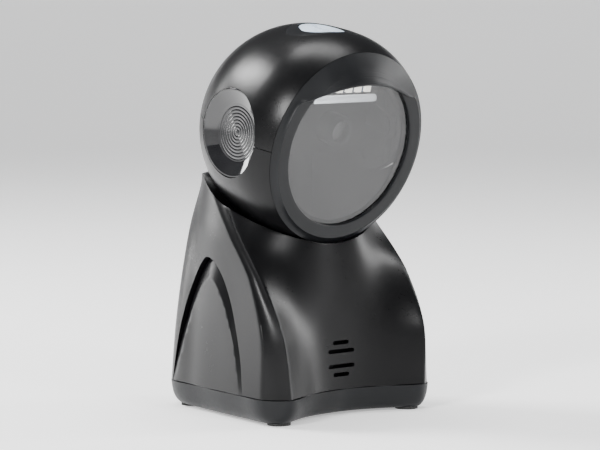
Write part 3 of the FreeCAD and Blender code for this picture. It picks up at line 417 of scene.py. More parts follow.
def freeze(piece):
    """Turns what a piece's modifiers make into its own plain mesh."""
    graph = bpy.context.evaluated_depsgraph_get()
    mesh = bpy.data.meshes.new_from_object(piece.evaluated_get(graph))
    piece.modifiers.clear()
    piece.data = mesh


def quad(here, after, first, second):
    """Face between two neighbouring rings that start at the points here and after."""
    return [here + first, here + second, after + second, after + first]


def closed_mesh(name, points, faces, merge=0.0):
    """Mesh of a closed solid, its near points merged if asked, with its faces turned outwards."""
    mesh = bpy.data.meshes.new(name)
    mesh.from_pydata(points, [], faces)
    work = bmesh.new()
    work.from_mesh(mesh)
    if merge:
        bmesh.ops.remove_doubles(work, verts=work.verts, dist=merge)
        bmesh.ops.dissolve_degenerate(work, edges=work.edges, dist=merge / 2)
    bmesh.ops.recalc_face_normals(work, faces=work.faces)
    work.to_mesh(mesh)
    work.free()
    return mesh


def loop_grid(name, sections):
    """Closed solid from closed sections, each a ring of the same number of points, joined in a round."""
    count = len(sections[0])
    points = [point for section in sections for point in section]
    faces = []
    for row in range(len(sections)):
        after = (row + 1) % len(sections)
        for column in range(count):
            beside = (column + 1) % count
            faces.append(quad(row * count, after * count, column, beside))
    return closed_mesh(name, points, faces, merge=0.001 * MM)


def turned_piece(name, profile, centre, axis, side, steps=192):
    """A solid of revolution. The profile is (radius, along the axis), from pole to pole."""
    other = axis.cross(side)
    points, faces = [], []
    inner = profile[1:-1]
    for step in range(steps):
        angle = 2 * math.pi * step / steps
        out = side * math.cos(angle) + other * math.sin(angle)
        points.extend(centre + out * radius + axis * along for radius, along in inner)
    rows = len(inner)
    for step in range(steps):
        after = (step + 1) % steps
        for row in range(rows - 1):
            faces.append(quad(step * rows, after * rows, row, row + 1))
    for pole, row in ((profile[0], 0), (profile[-1], rows - 1)):
        points.append(centre + axis * pole[1])
        tip = len(points) - 1
        for step in range(steps):
            faces.append([tip, step * rows + row, ((step + 1) % steps) * rows + row])
    return closed_mesh(name, points, faces)


def arc_points(start, end, radius, count):
    """Points on an arc between two (radius, along) points, bulging to the left of the run."""
    run = Vector(end) - Vector(start)
    half = run.length / 2
    middle = (Vector(start) + Vector(end)) / 2
    left = Vector((-run.y, run.x)).normalized()
    centre = middle - left * math.sqrt(max(radius * radius - half * half, 0))
    first = Vector(start) - centre
    opening = 2 * math.asin(min(1, half / radius))
    made = []
    for index in range(count + 1):
        angle = -opening * index / count
        cos, sin = math.cos(angle), math.sin(angle)
        made.append((centre.x + first.x * cos - first.y * sin, centre.y + first.x * sin + first.y * cos))
    return made


# ---------------------------------------------------------------- stage

CAMERA_TURN, CAMERA_LIFT = -41.62, 5.05  # degrees round the object, and above its middle
CAMERA_LENS = 189.8  # millimetres, on a sensor 36 mm wide


def facing(place, back):
    """Pose of a camera or a lamp at a place, with its back turned along a direction."""
    return Matrix.Translation(place) @ back.to_track_quat("Z", "Y").to_matrix().to_4x4()


class SCANNER_OT_stage(bpy.types.Operator):
    """Camera, floor, backdrop and soft lights"""

    bl_idname = "scanner.stage"
    bl_label = "Stage"

    def execute(self, context):
        scene = context.scene
        distance = sizes().camera_distance
        target = Vector((-2.94 * MM, BALL.y, 72.85 * MM))  # the middle of the picture
        turn, lift = math.radians(CAMERA_TURN), math.radians(CAMERA_LIFT)
        back = Vector((math.sin(turn) * math.cos(lift), -math.cos(turn) * math.cos(lift), math.sin(lift)))
        lens = bpy.data.cameras.new("camera")
        lens.lens = CAMERA_LENS
        lens.sensor_width = 36
        lens.clip_start = 0.05
        camera = bpy.data.objects.new("camera", lens)
        scene.collection.objects.link(camera)
        camera.matrix_world = facing(target + back * distance, back)
        scene.camera = camera
        right = camera.matrix_world.to_3x3() @ Vector((1, 0, 0))
        level = Vector((back.x, back.y, 0)).normalized()
        self.backdrop()
        self.lights(scene, target, right, level)
        world = bpy.data.worlds.new("studio")
        world.use_nodes = True
        background = world.node_tree.nodes["Background"]
        background.inputs["Color"].default_value = (0.93, 0.95, 1.0, 1)
        background.inputs["Strength"].default_value = 0.16
        scene.world = world
        return {"FINISHED"}

    def backdrop(self):
        """A floor that curves up into a wall, all round the object."""
        flat, bend, steps = 1.6, 0.6, 64
        profile = [(0.0, 0.0), (0.4, 0.0), (0.9, 0.0), (flat, 0.0)]
        profile += [
            (flat + bend * math.sin(a), bend - bend * math.cos(a)) for a in (0.3, 0.6, 0.9, 1.2, 1.5)
        ]
        mesh = bpy.data.meshes.new("floor")
        points, faces = [(0, 0, 0)], []
        for step in range(steps):
            angle = 2 * math.pi * step / steps
            points += [(r * math.cos(angle), r * math.sin(angle), z) for r, z in profile[1:]]
        rows = len(profile) - 1
        for step in range(steps):
            here, after = 1 + step * rows, 1 + ((step + 1) % steps) * rows
            faces.append([0, here, after])
            faces += [quad(here, after, row, row + 1) for row in range(rows - 1)]
        mesh.from_pydata(points, [], faces)
        mesh.shade_smooth()
        floor = new_piece("floor", mesh)
        paper = Finish("floor_paper")
        paper.blend_colour(paper.noise(300, 2), (0.86, 0.86, 0.86), (0.90, 0.90, 0.90))
        paper.wire(Roughness=0.85, Emission_Color=(1, 1, 1, 1), Emission_Strength=0.45)
        mesh.materials.append(paper.material)

    def lights(self, scene, target, right, level):
        """Soft boxes: the aim, its place along right, towards the camera and up, its size and its power."""
        boxes = (
            ("high_left", (-0.74, -0.28, 0.72), (0.30, 0.30), 15.0),
            ("front_left", (-0.50, 0.86, 0.52), (0.20, 0.34), 12.0),
            ("front_right", (0.62, 0.80, 0.62), (0.12, 0.30), 4.0),
            ("top", (0.05, -0.20, 1.10), (0.80, 0.40), 12.0),
            ("right_rim", (1.00, -0.35, 0.30), (0.20, 0.80), 8.0),
            ("left_rim", (-0.98, -0.62, 0.20), (0.16, 0.80), 6.0),
        )
        for name, (along, near, up), (width, height), power in boxes:
            light = bpy.data.lights.new(name, "AREA")
            light.shape = "RECTANGLE"
            light.size, light.size_y = width, height
            light.energy = power
            lamp = bpy.data.objects.new(name, light)
            scene.collection.objects.link(lamp)
            place = target + right * along + level * near + Vector((0, 0, up))
            lamp.matrix_world = facing(place, place - target)


class SCANNER_OT_finishes(bpy.types.Operator):
    """Materials, given to every CAD node that stays in view"""

    bl_idname = "scanner.finishes"
    bl_label = "Finishes"

    def execute(self, context):
        make_finishes()
        for name, node in frame["nodes"].items():
            material = FINISHES[SLOTS[name]]
            if not node.data.materials:
                node.data.materials.append(material)
            for slot in node.material_slots:
                slot.material = material
        return {"FINISHED"}


# The base's outline at five heights, from the middle of the front round the +X side to the middle
# of the rear, in millimetres from the middle of the base. Creased guides are ridges.
LEVELS = (10.15, 33.0, 55.0, 73.0, 92.7)
GUIDES = (
    ("front_middle", False, ((0, -31.6), (0, -31.0), (0, -29.0), (0, -25.6), (0, -17.0))),
    ("front_inner", False, ((12, -32.8), (12, -31.6), (12, -29.2), (12, -25.6), (12, -16.0))),
    ("front_cove", False, ((24, -37.2), (24.5, -34.6), (25.2, -28.0), (25.5, -20.2), (24.5, -9.0))),
    ("front_ridge", True, ((34.8, -41.7), (36.6, -39.7), (37.6, -27.9), (35.8, -11.8), (29.2, 7.7))),
    ("ridge_groove", False, ((39.6, -38.1), (39.2, -36.1), (38.2, -25.2), (36.0, -9.0), (29.4, 11.2))),
    ("wing_ridge", True, ((42.4, -33.0), (42.2, -33.2), (39.8, -23.4), (37.0, -7.0), (30.2, 14.0))),
    ("side_front", False, ((40.9, -21.0), (40.0, -20.0), (38.0, -13.0), (35.6, 1.0), (28.6, 17.3))),
    ("side_middle", False, ((38.2, -3.0), (37.1, -3.0), (35.4, 2.0), (33.4, 10.0), (26.4, 20.6))),
    ("side_rear", False, ((34.6, 17.0), (33.4, 16.0), (31.6, 17.0), (29.8, 19.5), (23.0, 24.2))),
    ("rear_corner", False, ((28.4, 37.2), (27.8, 35.2), (26.6, 32.2), (25.0, 29.0), (18.0, 28.0))),
    ("rear_inner", False, ((16, 41.6), (15.6, 39.8), (15.0, 36.8), (14.0, 33.8), (10.0, 31.0))),
    ("rear_middle", False, ((0, 42.4), (0, 40.8), (0, 38.2), (0, 35.4), (0, 32.4))),
)
BASE_SHIFT = Vector((0, BALL.y + 10.8 * MM, 0))
SEAT_CENTRE = BALL + Vector((0, -1.92, -1.44)) * MM
SEAT_RADIUS = 44.33 * MM
NECK_HOLE = 6.3 * MM
NECK_BACK = 4.5 * MM
COVER_WALL = 2.4 * MM
# The side recess, in (y, z): its outer edge, and the edge where its ramp comes back to the wall.
ARCH_OUTER = (
    (-21.5, 4), (-20.2, 11), (-18.2, 24), (-15.2, 33.3), (-11.6, 42.3), (-7.4, 49.7), (-2.2, 56),
    (3.6, 60.1), (9.1, 61), (14.2, 57.8), (21.8, 47), (26.5, 36), (30.5, 22), (33, 10), (34, 4),
)
ARCH_INNER = (
    (-19.5, 4), (-17.8, 11), (-15.2, 22), (-12.7, 29.6), (-9.4, 36.4), (-5.6, 43.1), (-1.0, 48.6),
    (3.4, 52), (7.3, 52.8), (11.2, 50.7), (17.4, 43.4), (21.8, 34), (26.2, 22), (29.6, 10), (30.8, 4),
)
ARCH_STEP = 2.7 * MM
ARCH_SECTIONS, RAMP_STEPS = 90, 8  # along the recess, and across its ramp
# Rows of points up the cover's wall, over its crest, down the cradle, back under it and down inside.
WALL_ROWS, CREST_ROWS, BOWL_ROWS, UNDER_ROWS, INSIDE_ROWS = 54, 6, 24, 12, 14


def spline_point(before, first, second, after, share, crease_first=False, crease_second=False):
    """Point on a smooth curve from first to second; a creased end lets its tangent run free."""
    length = (second - first).length
    back, ahead = (first - before).length, (after - second).length
    middle = (second - first) / length
    lean_first = ((first - before) / back * length + middle * back) * (length / (back + length))
    lean_second = (middle * ahead + (after - second) / ahead * length) * (length / (ahead + length))
    if crease_first:
        lean_first = (second - first) * 1.5 - lean_second * 0.5
    if crease_second:
        lean_second = (second - first) * 1.5 - lean_first * 0.5
    t2, t3 = share * share, share ** 3
    ends = first * (2 * t3 - 3 * t2 + 1) + second * (3 * t2 - 2 * t3)
    return ends + lean_first * (t3 - 2 * t2 + share) + lean_second * (t3 - t2)


def outline_columns(level, per_span=11):
    """Points round the base at one level, the ridges crisp but not knife-sharp."""
    half = [(Vector(points[level]) * MM, creased) for _, creased, points in GUIDES]
    whole = half + [(Vector((-spot.x, spot.y)), creased) for spot, creased in reversed(half[1:-1])]
    count = len(whole)
    columns = []
    for index in range(count):
        four = [whole[(index + step) % count] for step in (-1, 0, 1, 2)]
        for part in range(per_span):
            points = [point for point, _ in four]
            columns.append(spline_point(*points, part / per_span, four[1][1], four[2][1]))
    total = len(columns)
    return [
        columns[i - 1] * 0.25 + columns[i] * 0.5 + columns[(i + 1) % total] * 0.25 for i in range(total)
    ]


def height_point(stack, height):
    """Point of one column's five level points at a height."""
    span = next(i for i in range(4) if height <= LEVELS[i + 1] * MM + 1e-9 or i == 3)
    solid = [Vector((point.x, point.y, level * MM)) for point, level in zip(stack, LEVELS)]
    before = solid[span - 1] if span else solid[0] * 2 - solid[1]
    after = solid[span + 2] if span < 3 else solid[4] * 2 - solid[3]
    share = (height - solid[span].z) / (solid[span + 1].z - solid[span].z)
    made = spline_point(before, solid[span], solid[span + 1], after, min(1, max(0, share)))
    return Vector((made.x, made.y, height)) + BASE_SHIFT


def in_sphere(point, radius):
    return (point - SEAT_CENTRE).length < radius


def on_seat(point, radius):
    """The same point across the floor, dropped on the cradle's sphere."""
    flat = Vector((point.x - SEAT_CENTRE.x, point.y - SEAT_CENTRE.y))
    return Vector((point.x, point.y, SEAT_CENTRE.z - math.sqrt(max(radius ** 2 - flat.length_squared, 0))))


def top_of_wall(stack, inset, radius):
    """Height at which a column's wall runs into the sphere, or the top level."""
    height = 45 * MM
    while height < LEVELS[-1] * MM:
        if in_sphere(height_point(stack, height) - inset, radius):
            return height
        height += 0.25 * MM
    return LEVELS[-1] * MM


def capped_sweep(name, sections):
    """Solid swept through closed sections, closed at both ends."""
    count = len(sections[0])
    points = [point for section in sections for point in section]
    faces = [list(range(count)), list(range(len(points) - count, len(points)))]
    for row in range(len(sections) - 1):
        for column in range(count):
            beside = (column + 1) % count
            faces.append(quad(row * count, (row + 1) * count, column, beside))
    return closed_mesh(name, points, faces)


def cut_away(piece, cutter):
    """Takes a cutter's space out of a piece and drops the cutter."""
    cutting = piece.modifiers.new("cut", "BOOLEAN")
    cutting.operation = "DIFFERENCE"
    cutting.solver = "EXACT"
    cutting.object = cutter
    freeze(piece)
    bpy.data.objects.remove(cutter)


def open_tree(name, wanted):
    """Geometry node tree with an input for each wanted size, its input node and the inputs' identifiers."""
    tree = bpy.data.node_groups.new(name, "GeometryNodeTree")
    sockets = {}
    for label in wanted:
        socket = tree.interface.new_socket(label, in_out="INPUT", socket_type="NodeSocketFloat")
        sockets[label] = socket.identifier
    tree.interface.new_socket("Geometry", in_out="OUTPUT", socket_type="NodeSocketGeometry")
    return tree, tree.nodes.new("NodeGroupInput"), sockets


def close_tree(tree, geometry, slot):
    """Ends a tree in Realize Instances and Set Material."""
    realize = tree.nodes.new("GeometryNodeRealizeInstances")
    paint = tree.nodes.new("GeometryNodeSetMaterial")
    paint.inputs["Material"].default_value = FINISHES[slot]
    tree.links.new(geometry, realize.inputs["Geometry"])
    tree.links.new(realize.outputs["Geometry"], paint.inputs["Geometry"])
    tree.links.new(paint.outputs["Geometry"], tree.nodes.new("NodeGroupOutput").inputs["Geometry"])


def grown_piece(name, tree, sockets, values):
    """Piece whose plain mesh is what a node tree makes from the values of its inputs."""
    piece = new_piece(name, bpy.data.meshes.new(name))
    grow = piece.modifiers.new("grow", "NODES")
    grow.node_group = tree
    for label, value in values.items():
        grow[sockets[label]] = value
    freeze(piece)
    return piece


def along(points, count):
    """Evenly spread points on a smooth open curve through the given ones."""
    rough = [Vector(point) * MM for point in points]
    fine = []
    for index in range(len(rough) - 1):
        before = rough[index - 1] if index else rough[0] * 2 - rough[1]
        after = rough[index + 2] if index + 2 < len(rough) else rough[-1] * 2 - rough[-2]
        fine += [spline_point(before, rough[index], rough[index + 1], after, part / 12) for part in range(12)]
    fine.append(rough[-1])
    return [fine[round(step * (len(fine) - 1) / count)] for step in range(count + 1)]


class SCANNER_OT_base(bpy.types.Operator):
    """Winged base cover, tray and socket"""

    bl_idname = "scanner.base"
    bl_label = "Base"

    def sleeve(self):
        """The cover's wall, rolled over at its rim into the cradle and back under to the seam."""
        levels = [outline_columns(level) for level in range(5)]
        stacks = list(zip(*levels))
        total = len(stacks)
        sections = []
        for index, stack in enumerate(stacks):
            ahead, behind = stacks[(index + 1) % total], stacks[index - 1]
            run = ahead[1] - behind[1]
            outward = Vector((run.y, -run.x, 0)).normalized()
            sections.append(self.column(stack, outward))
        return loop_grid("winged_cover", sections)

    def column(self, stack, outward):
        seam = LEVELS[0] * MM
        top = top_of_wall(stack, Vector(), SEAT_RADIUS)
        rise = top - seam - 0.9 * MM
        rows = [seam + 0.35 * MM + rise * step / WALL_ROWS for step in range(WALL_ROWS + 1)]
        wall = [height_point(stack, seam) - outward * 0.3 * MM]
        wall += [height_point(stack, height) for height in rows]
        crest = height_point(stack, top)
        hole = Vector((0, BALL.y + NECK_BACK, 0))
        heading = Vector((crest.x, crest.y - hole.y, 0)).normalized()
        start = crest
        while not in_sphere(start, SEAT_RADIUS) and start.length > 5 * MM:
            start = start - heading * 0.2 * MM
        inner_start = on_seat(start - heading * 0.7 * MM, SEAT_RADIUS)
        edge = []
        for step in range(1, CREST_ROWS + 1):
            part = step / CREST_ROWS
            first, last = wall[-1], inner_start
            peak = (crest + start) / 2
            edge.append(first * (1 - part) ** 2 + peak * 2 * part * (1 - part) + last * part ** 2)
        brink = hole + heading * NECK_HOLE
        bowl = []
        for step in range(1, BOWL_ROWS + 1):
            flat = inner_start.lerp(Vector((brink.x, brink.y, inner_start.z)), step / BOWL_ROWS)
            bowl.append(on_seat(flat, SEAT_RADIUS))
        inset = outward * COVER_WALL
        inner_top = top_of_wall(stack, inset, SEAT_RADIUS + COVER_WALL)
        ceiling = height_point(stack, min(inner_top, top - 1.2 * MM)) - inset
        under = []
        for step in range(UNDER_ROWS):
            flat = Vector((brink.x, brink.y, 0)).lerp(ceiling, step / UNDER_ROWS)
            under.append(on_seat(flat, SEAT_RADIUS + COVER_WALL))
        drop = seam - ceiling.z
        heights = [ceiling.z + drop * step / INSIDE_ROWS for step in range(INSIDE_ROWS + 1)]
        inside = [height_point(stack, height) - inset for height in heights]
        return wall + edge + bowl + under + inside

    def arch_cutter(self, side, wall):
        """The recess: a step down under the outer edge, and a ramp back out to the inner one."""
        outer, inner = along(ARCH_OUTER, ARCH_SECTIONS), along(ARCH_INNER, ARCH_SECTIONS)
        clear = 60 * MM  # well outside the wall
        sections = []
        for edge, back in zip(outer, inner):
            fade = min(1, max(0, (edge.y - 10 * MM) / (26 * MM)))
            section = []
            for step in range(RAMP_STEPS + 1):
                part = step / RAMP_STEPS
                flat = edge.lerp(back, part)
                spot = Vector((side * 80 * MM, flat.x + BASE_SHIFT.y, max(flat.y, 10.3 * MM)))
                hit = wall.ray_cast(spot, Vector((-side, 0, 0)))[0]
                surface = hit.x * side if hit else 30 * MM
                sink = ARCH_STEP * fade * (1 - part) - 0.02 * MM * part
                section.append(Vector((side * (surface - sink), spot.y, flat.y)))
            section.append(Vector((side * clear, section[-1].y, back.y)))
            section.append(Vector((side * clear, section[0].y, edge.y)))
            sections.append(section)
        return capped_sweep("arch_cutter", sections)

    def slot_cutters(self):
        """Sound slots: rounded bars, one above the other, grown by a node tree."""
        millimetres = {
            "Long": 13.5, "Short": 8.2, "Height": 1.6,
            "Middle": 22.35, "Inner Offset": 2.9, "Outer Offset": 6.2,
        }
        wanted = {label: value * MM for label, value in millimetres.items()}
        tree, entry, sockets = open_tree("sound_slots", wanted)
        join = tree.nodes.new("GeometryNodeJoinGeometry")
        half_height = tree.nodes.new("ShaderNodeMath")
        half_height.operation = "MULTIPLY"
        half_height.inputs[1].default_value = 0.499
        tree.links.new(entry.outputs["Height"], half_height.inputs[0])
        for label, offset, sign in (
            ("Long", "Inner Offset", 1), ("Long", "Inner Offset", -1),
            ("Short", "Outer Offset", 1), ("Short", "Outer Offset", -1),
        ):
            bar = tree.nodes.new("GeometryNodeCurvePrimitiveQuadrilateral")
            tree.links.new(entry.outputs[label], bar.inputs["Width"])
            tree.links.new(entry.outputs["Height"], bar.inputs["Height"])
            rounded = tree.nodes.new("GeometryNodeFilletCurve")
            rounded.mode = "POLY"
            rounded.inputs["Count"].default_value = 8
            rounded.inputs["Limit Radius"].default_value = True
            tree.links.new(bar.outputs["Curve"], rounded.inputs["Curve"])
            tree.links.new(half_height.outputs[0], rounded.inputs["Radius"])
            filled = tree.nodes.new("GeometryNodeFillCurve")
            filled.mode = "NGONS"
            tree.links.new(rounded.outputs["Curve"], filled.inputs["Curve"])
            lift = tree.nodes.new("ShaderNodeMath")
            lift.operation = "MULTIPLY_ADD"
            lift.inputs[1].default_value = sign
            tree.links.new(entry.outputs[offset], lift.inputs[0])
            tree.links.new(entry.outputs["Middle"], lift.inputs[2])
            put = tree.nodes.new("ShaderNodeCombineXYZ")
            put.inputs["Y"].default_value = BASE_SHIFT.y - 50 * MM
            tree.links.new(lift.outputs[0], put.inputs["Z"])
            turn = tree.nodes.new("GeometryNodeTransform")
            turn.inputs["Rotation"].default_value = (math.radians(90), 0, 0)
            tree.links.new(filled.outputs["Mesh"], turn.inputs["Geometry"])
            tree.links.new(put.outputs["Vector"], turn.inputs["Translation"])
            tree.links.new(turn.outputs["Geometry"], join.inputs["Geometry"])
        close_tree(tree, join.outputs["Geometry"], "cover_plastic")
        carrier = grown_piece("slot_cutters", tree, sockets, wanted)
        work = bmesh.new()
        work.from_mesh(carrier.data)
        grown = bmesh.ops.extrude_face_region(work, geom=work.faces[:])["geom"]
        moved = [part for part in grown if isinstance(part, bmesh.types.BMVert)]
        bmesh.ops.translate(work, verts=moved, vec=(0, 27 * MM, 0))
        bmesh.ops.recalc_face_normals(work, faces=work.faces)
        work.to_mesh(carrier.data)
        work.free()
        return carrier

    def socket_cutter(self):
        low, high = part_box("cable_socket")
        gap = 0.35 * MM
        left, right, under, over = low.x - gap, high.x + gap, low.z - 4 * MM, high.z + gap
        corners = ((left, under), (right, under), (right, over), (left, over))
        sections = [[Vector((x, y, z)) for x, z in corners] for y in (low.y, high.y + 20 * MM)]
        return capped_sweep("socket_cutter", sections)

    def execute(self, context):
        mesh = self.sleeve()
        piece = new_piece("winged_base_cover", mesh)
        corners = [vertex.co.copy() for vertex in mesh.vertices]
        wall = BVHTree.FromPolygons(corners, [list(face.vertices) for face in mesh.polygons])
        for side in (-1, 1):
            cut_away(piece, new_piece("arch_cutter", self.arch_cutter(side, wall)))
        cut_away(piece, self.slot_cutters())
        cut_away(piece, new_piece("socket_cutter", self.socket_cutter()))
        stand_for(piece, "base_cover")
        smooth(piece.data, 32)
        smoothed_copy("base_floor_tray", "base_tray", 30)
        smoothed_copy("cable_jack", "cable_socket")
        smoothed_copy("neck_pillar", "neck_post")
        smoothed_copy("sounder", "speaker")
        smoothed_copy("sounder_clip", "speaker_holder")
        return {"FINISHED"}


class SCANNER_OT_shells(bpy.types.Operator):
    """Two halves of the ball head"""

    bl_idname = "scanner.shells"
    bl_label = "Ball shells"

    def execute(self, context):
        smoothed_copy("ball_upper_half", "head_upper_shell", 24)
        smoothed_copy("ball_lower_half", "head_lower_shell", 24)
        return {"FINISHED"}


class SCANNER_OT_caps(bpy.types.Operator):
    """Dished pivot caps with their turned rings"""

    bl_idname = "scanner.caps"
    bl_label = "Pivot caps"

    def execute(self, context):
        for side, node in ((-1, "left_pivot_cap"), (1, "right_pivot_cap")):
            piece = new_piece(node.replace("pivot_cap", "dished_cap"), self.disc(side))
            stand_for(piece, node)
            smooth(piece.data, 50)
        return {"FINISHED"}

    def disc(self, side):
        """Back, rim, cone and the ringed flat in the middle."""
        flat_at, flat_radius = CAP_FACE - 2.5 * MM, 11.0 * MM
        count = sizes().cap_grooves
        depth = sizes().groove_depth
        pitch = flat_radius / (count + 0.6)
        edge = 0.35 * MM
        profile = [(0, CAP_INNER), (CAP_RADIUS * 0.5, CAP_INNER), (CAP_RADIUS - edge, CAP_INNER)]
        profile += [(CAP_RADIUS, CAP_INNER + edge), (CAP_RADIUS, CAP_FACE - edge)]
        profile += [(CAP_RADIUS - 0.1 * MM, CAP_FACE - 0.1 * MM), (CAP_RADIUS - edge, CAP_FACE)]
        profile += [(CAP_RADIUS - 0.8 * MM, CAP_FACE - 0.02 * MM)]
        profile += [(CAP_RADIUS - 1.1 * MM, CAP_FACE - 0.16 * MM)]
        profile += [(flat_radius + 0.5 * MM, flat_at + 0.16 * MM), (flat_radius, flat_at)]
        half = 0.36  # a groove's half width, as a share of the pitch
        for ring in range(count, 0, -1):
            middle = ring * pitch
            profile.append((middle + pitch * half, flat_at))
            for share in (0.26, 0.13, 0, -0.13, -0.26):
                sink = depth * 0.5 * (1 + math.cos(share * math.pi / half))
                profile.append((middle + pitch * share, flat_at - sink))
            profile.append((middle - pitch * half, flat_at))
        profile.append((0, flat_at))
        axis = ACROSS * side
        return turned_piece("cap", profile, BALL, axis, UP)


class SCANNER_OT_bezel(bpy.types.Operator):
    """Bezel ring with the brow that shades the window"""

    bl_idname = "scanner.bezel"
    bl_label = "Bezel and brow"

    def execute(self, context):
        sections = [self.section(2 * math.pi * step / 360) for step in range(360)]
        mesh = loop_grid("bezel_and_brow", sections)
        piece = new_piece("bezel_and_brow", mesh)
        stand_for(piece, "front_bezel")
        smooth(mesh, 40)
        return {"FINISHED"}

    def section(self, angle):
        """One slice of the ring at an angle from the top, as points in space."""
        rim, seam = RIM_RADIUS - 0.02 * MM, BARREL_END + 0.2 * MM
        face_at = BARREL_END + 2.1 * MM
        ring = arc_points((rim, seam), (FACE_EDGE, face_at), 3.4 * MM, RING_STEPS)
        lean = abs((angle + math.pi) % (2 * math.pi) - math.pi)
        start = (rim - 0.05 * MM, seam)
        dome = arc_points(start, (BROW_INNER, LIP_REACH - 0.1 * MM), 60 * MM, DOME_STEPS)
        slope = (LIP_REACH - face_at) / (BROW_INNER - BROW_ROOT)
        reach = 0
        for index, (radius, along) in enumerate(dome):
            if along > face_at + (radius * math.cos(lean) - BROW_ROOT) * slope:
                break
            reach = index
        # Where the cut runs out at the sides the brow melts into the ring.
        end_lean = math.acos(BROW_ROOT / (rim - 1.6 * MM))
        weight = min(1, max(0, (end_lean + math.radians(1.5) - lean) / math.radians(9)))
        weight = weight * weight * (3 - 2 * weight)
        reach = max(reach, 12)
        outer = []
        for index in range(RING_STEPS + 1):
            at = reach * index / RING_STEPS
            low = min(int(at), DOME_STEPS - 1)
            part = at - low
            dome_point = [dome[low][k] * (1 - part) + dome[low + 1][k] * part for k in (0, 1)]
            outer.append(tuple(ring[index][k] * (1 - weight) + dome_point[k] * weight for k in (0, 1)))
        heading = (Vector(outer[-1]) - Vector(outer[-2])).normalized()
        inward = Vector((heading.y, -heading.x))
        if inward.y > 0:
            inward = -inward
        lip = sizes().lip_radius * weight + 0.01 * MM
        centre = Vector(outer[-1]) + inward * lip
        bend = []
        for index in range(1, 9):
            turn = math.pi * index / 8
            across, ahead = inward * lip * math.cos(turn), heading * lip * math.sin(turn) * 0.8
            bend.append(tuple(centre - across + ahead))
        under_end = (FACE_EDGE * (1 - weight) + (FACE_EDGE - 1.9 * MM) * weight, face_at)
        under = []
        for index in range(1, 9):
            part = index / 8
            mixed = [bend[-1][k] * (1 - part) + under_end[k] * part for k in (0, 1)]
            mixed[0] += 0.9 * MM * weight * math.sin(math.pi * part) * 0.5
            under.append(tuple(mixed))
        corner = 0.35 * MM
        mouth = WINDOW_RADIUS + corner
        face = [(under_end[0] * (1 - p) + mouth * p, face_at) for p in (0.25, 0.5, 0.75, 1.0)]
        fillet = [
            (WINDOW_RADIUS + corner * (1 - math.sin(a)), face_at - corner * (1 - math.cos(a)))
            for a in (0.4, 0.8, 1.2, 1.57)
        ]
        pocket = PANE_RADIUS + 0.1 * MM
        skirt = FACE_EDGE + 0.5 * MM
        back = [
            (WINDOW_RADIUS, PANE_FACE + 0.03 * MM), (pocket, PANE_FACE + 0.03 * MM), (pocket, BEZEL_BACK),
            (skirt, BEZEL_BACK), (skirt, seam), (rim - 0.3 * MM, seam),
        ]
        out = ACROSS * math.sin(angle) + UP * math.cos(angle)
        loop = outer + bend + under + face + fillet + back
        return [BALL + out * radius + FORWARD * along for radius, along in loop]


class SCANNER_OT_window(bpy.types.Operator):
    """Smoked window, its foam ring and what shows behind it"""

    bl_idname = "scanner.window"
    bl_label = "Window and optics"

    def execute(self, context):
        piece = new_piece("smoked_window", self.pane())
        stand_for(piece, "window_pane")
        smooth(piece.data, 30)
        smoothed_copy("foam_ring", "window_gasket")
        smoothed_copy("clear_light_bar", "light_bar")
        smoothed_copy("lens_tube", "lens_barrel")
        smoothed_copy("front_lens", "lens_element", 40)
        smoothed_copy("optics_carrier", "optics_frame")
        return {"FINISHED"}

    def pane(self):
        """Flat disc with polished edges; rings of points keep its faces small."""
        back = node_span("window_pane", FORWARD)[0]
        edge = 0.2 * MM
        rings = [PANE_RADIUS * share for share in (0.25, 0.5, 0.75, 0.93)]
        profile = [(0, back)] + [(radius, back) for radius in rings]
        profile += [(PANE_RADIUS - edge, back), (PANE_RADIUS, back + edge)]
        profile += [(PANE_RADIUS, PANE_FACE - edge), (PANE_RADIUS - edge, PANE_FACE)]
        profile += [(radius, PANE_FACE) for radius in reversed(rings)] + [(0, PANE_FACE)]
        return turned_piece("pane", profile, BALL, FORWARD, UP)


class SCANNER_OT_button(bpy.types.Operator):
    """Trigger button and its seat"""

    bl_idname = "scanner.button"
    bl_label = "Trigger button"

    def execute(self, context):
        smoothed_copy("oval_button_seat", "button_well", 30)
        piece = new_piece("round_trigger_button", self.crown())
        stand_for(piece, "trigger_button")
        smooth(piece.data, 50)
        return {"FINISHED"}

    def crown(self):
        """Stem, skirt, a rounded edge and a shallow crown with a fine ring round it."""
        bottom = BUTTON_TOP - 3.2 * MM
        stem_end = node_span("trigger_button", UP)[0]
        drop = 0.9 * MM
        profile = [(0, stem_end), (1.5 * MM, stem_end), (1.9 * MM, stem_end + 0.4 * MM), (1.9 * MM, bottom)]
        profile += [(BUTTON_RADIUS - 0.3 * MM, bottom), (BUTTON_RADIUS, bottom + 0.3 * MM)]
        edge = 0.45 * MM
        rim_top = BUTTON_TOP - drop
        profile.append((BUTTON_RADIUS, rim_top - edge))
        for step in range(1, 6):
            turn = math.pi / 2 * step / 6
            inset, drop_here = edge * (1 - math.cos(turn)), edge * (1 - math.sin(turn))
            profile.append((BUTTON_RADIUS - inset, rim_top - drop_here))
        for step in range(19):
            radius = (BUTTON_RADIUS - edge) * (1 - step / 19)
            rise = drop * (1 - (radius / BUTTON_RADIUS) ** 2)
            profile.append((radius, rim_top + rise - (0.06 * MM if step == 3 else 0)))
        profile.append((0, BUTTON_TOP))
        return turned_piece("crown", profile, BALL, UP, ACROSS, 128)


class SCANNER_OT_fixings(bpy.types.Operator):
    """Screws, nuts, washers and feet"""

    bl_idname = "scanner.fixings"
    bl_label = "Fixings and feet"

    def execute(self, context):
        for node in (
            "rubber_feet", "base_screws", "ballast_screws", "neck_screws", "head_screws", "axle_nuts",
            "friction_washers", "axle_bushes", "tilt_axle", "board_pillars",
        ):
            smoothed_copy(node + "_finished", node)
        return {"FINISHED"}


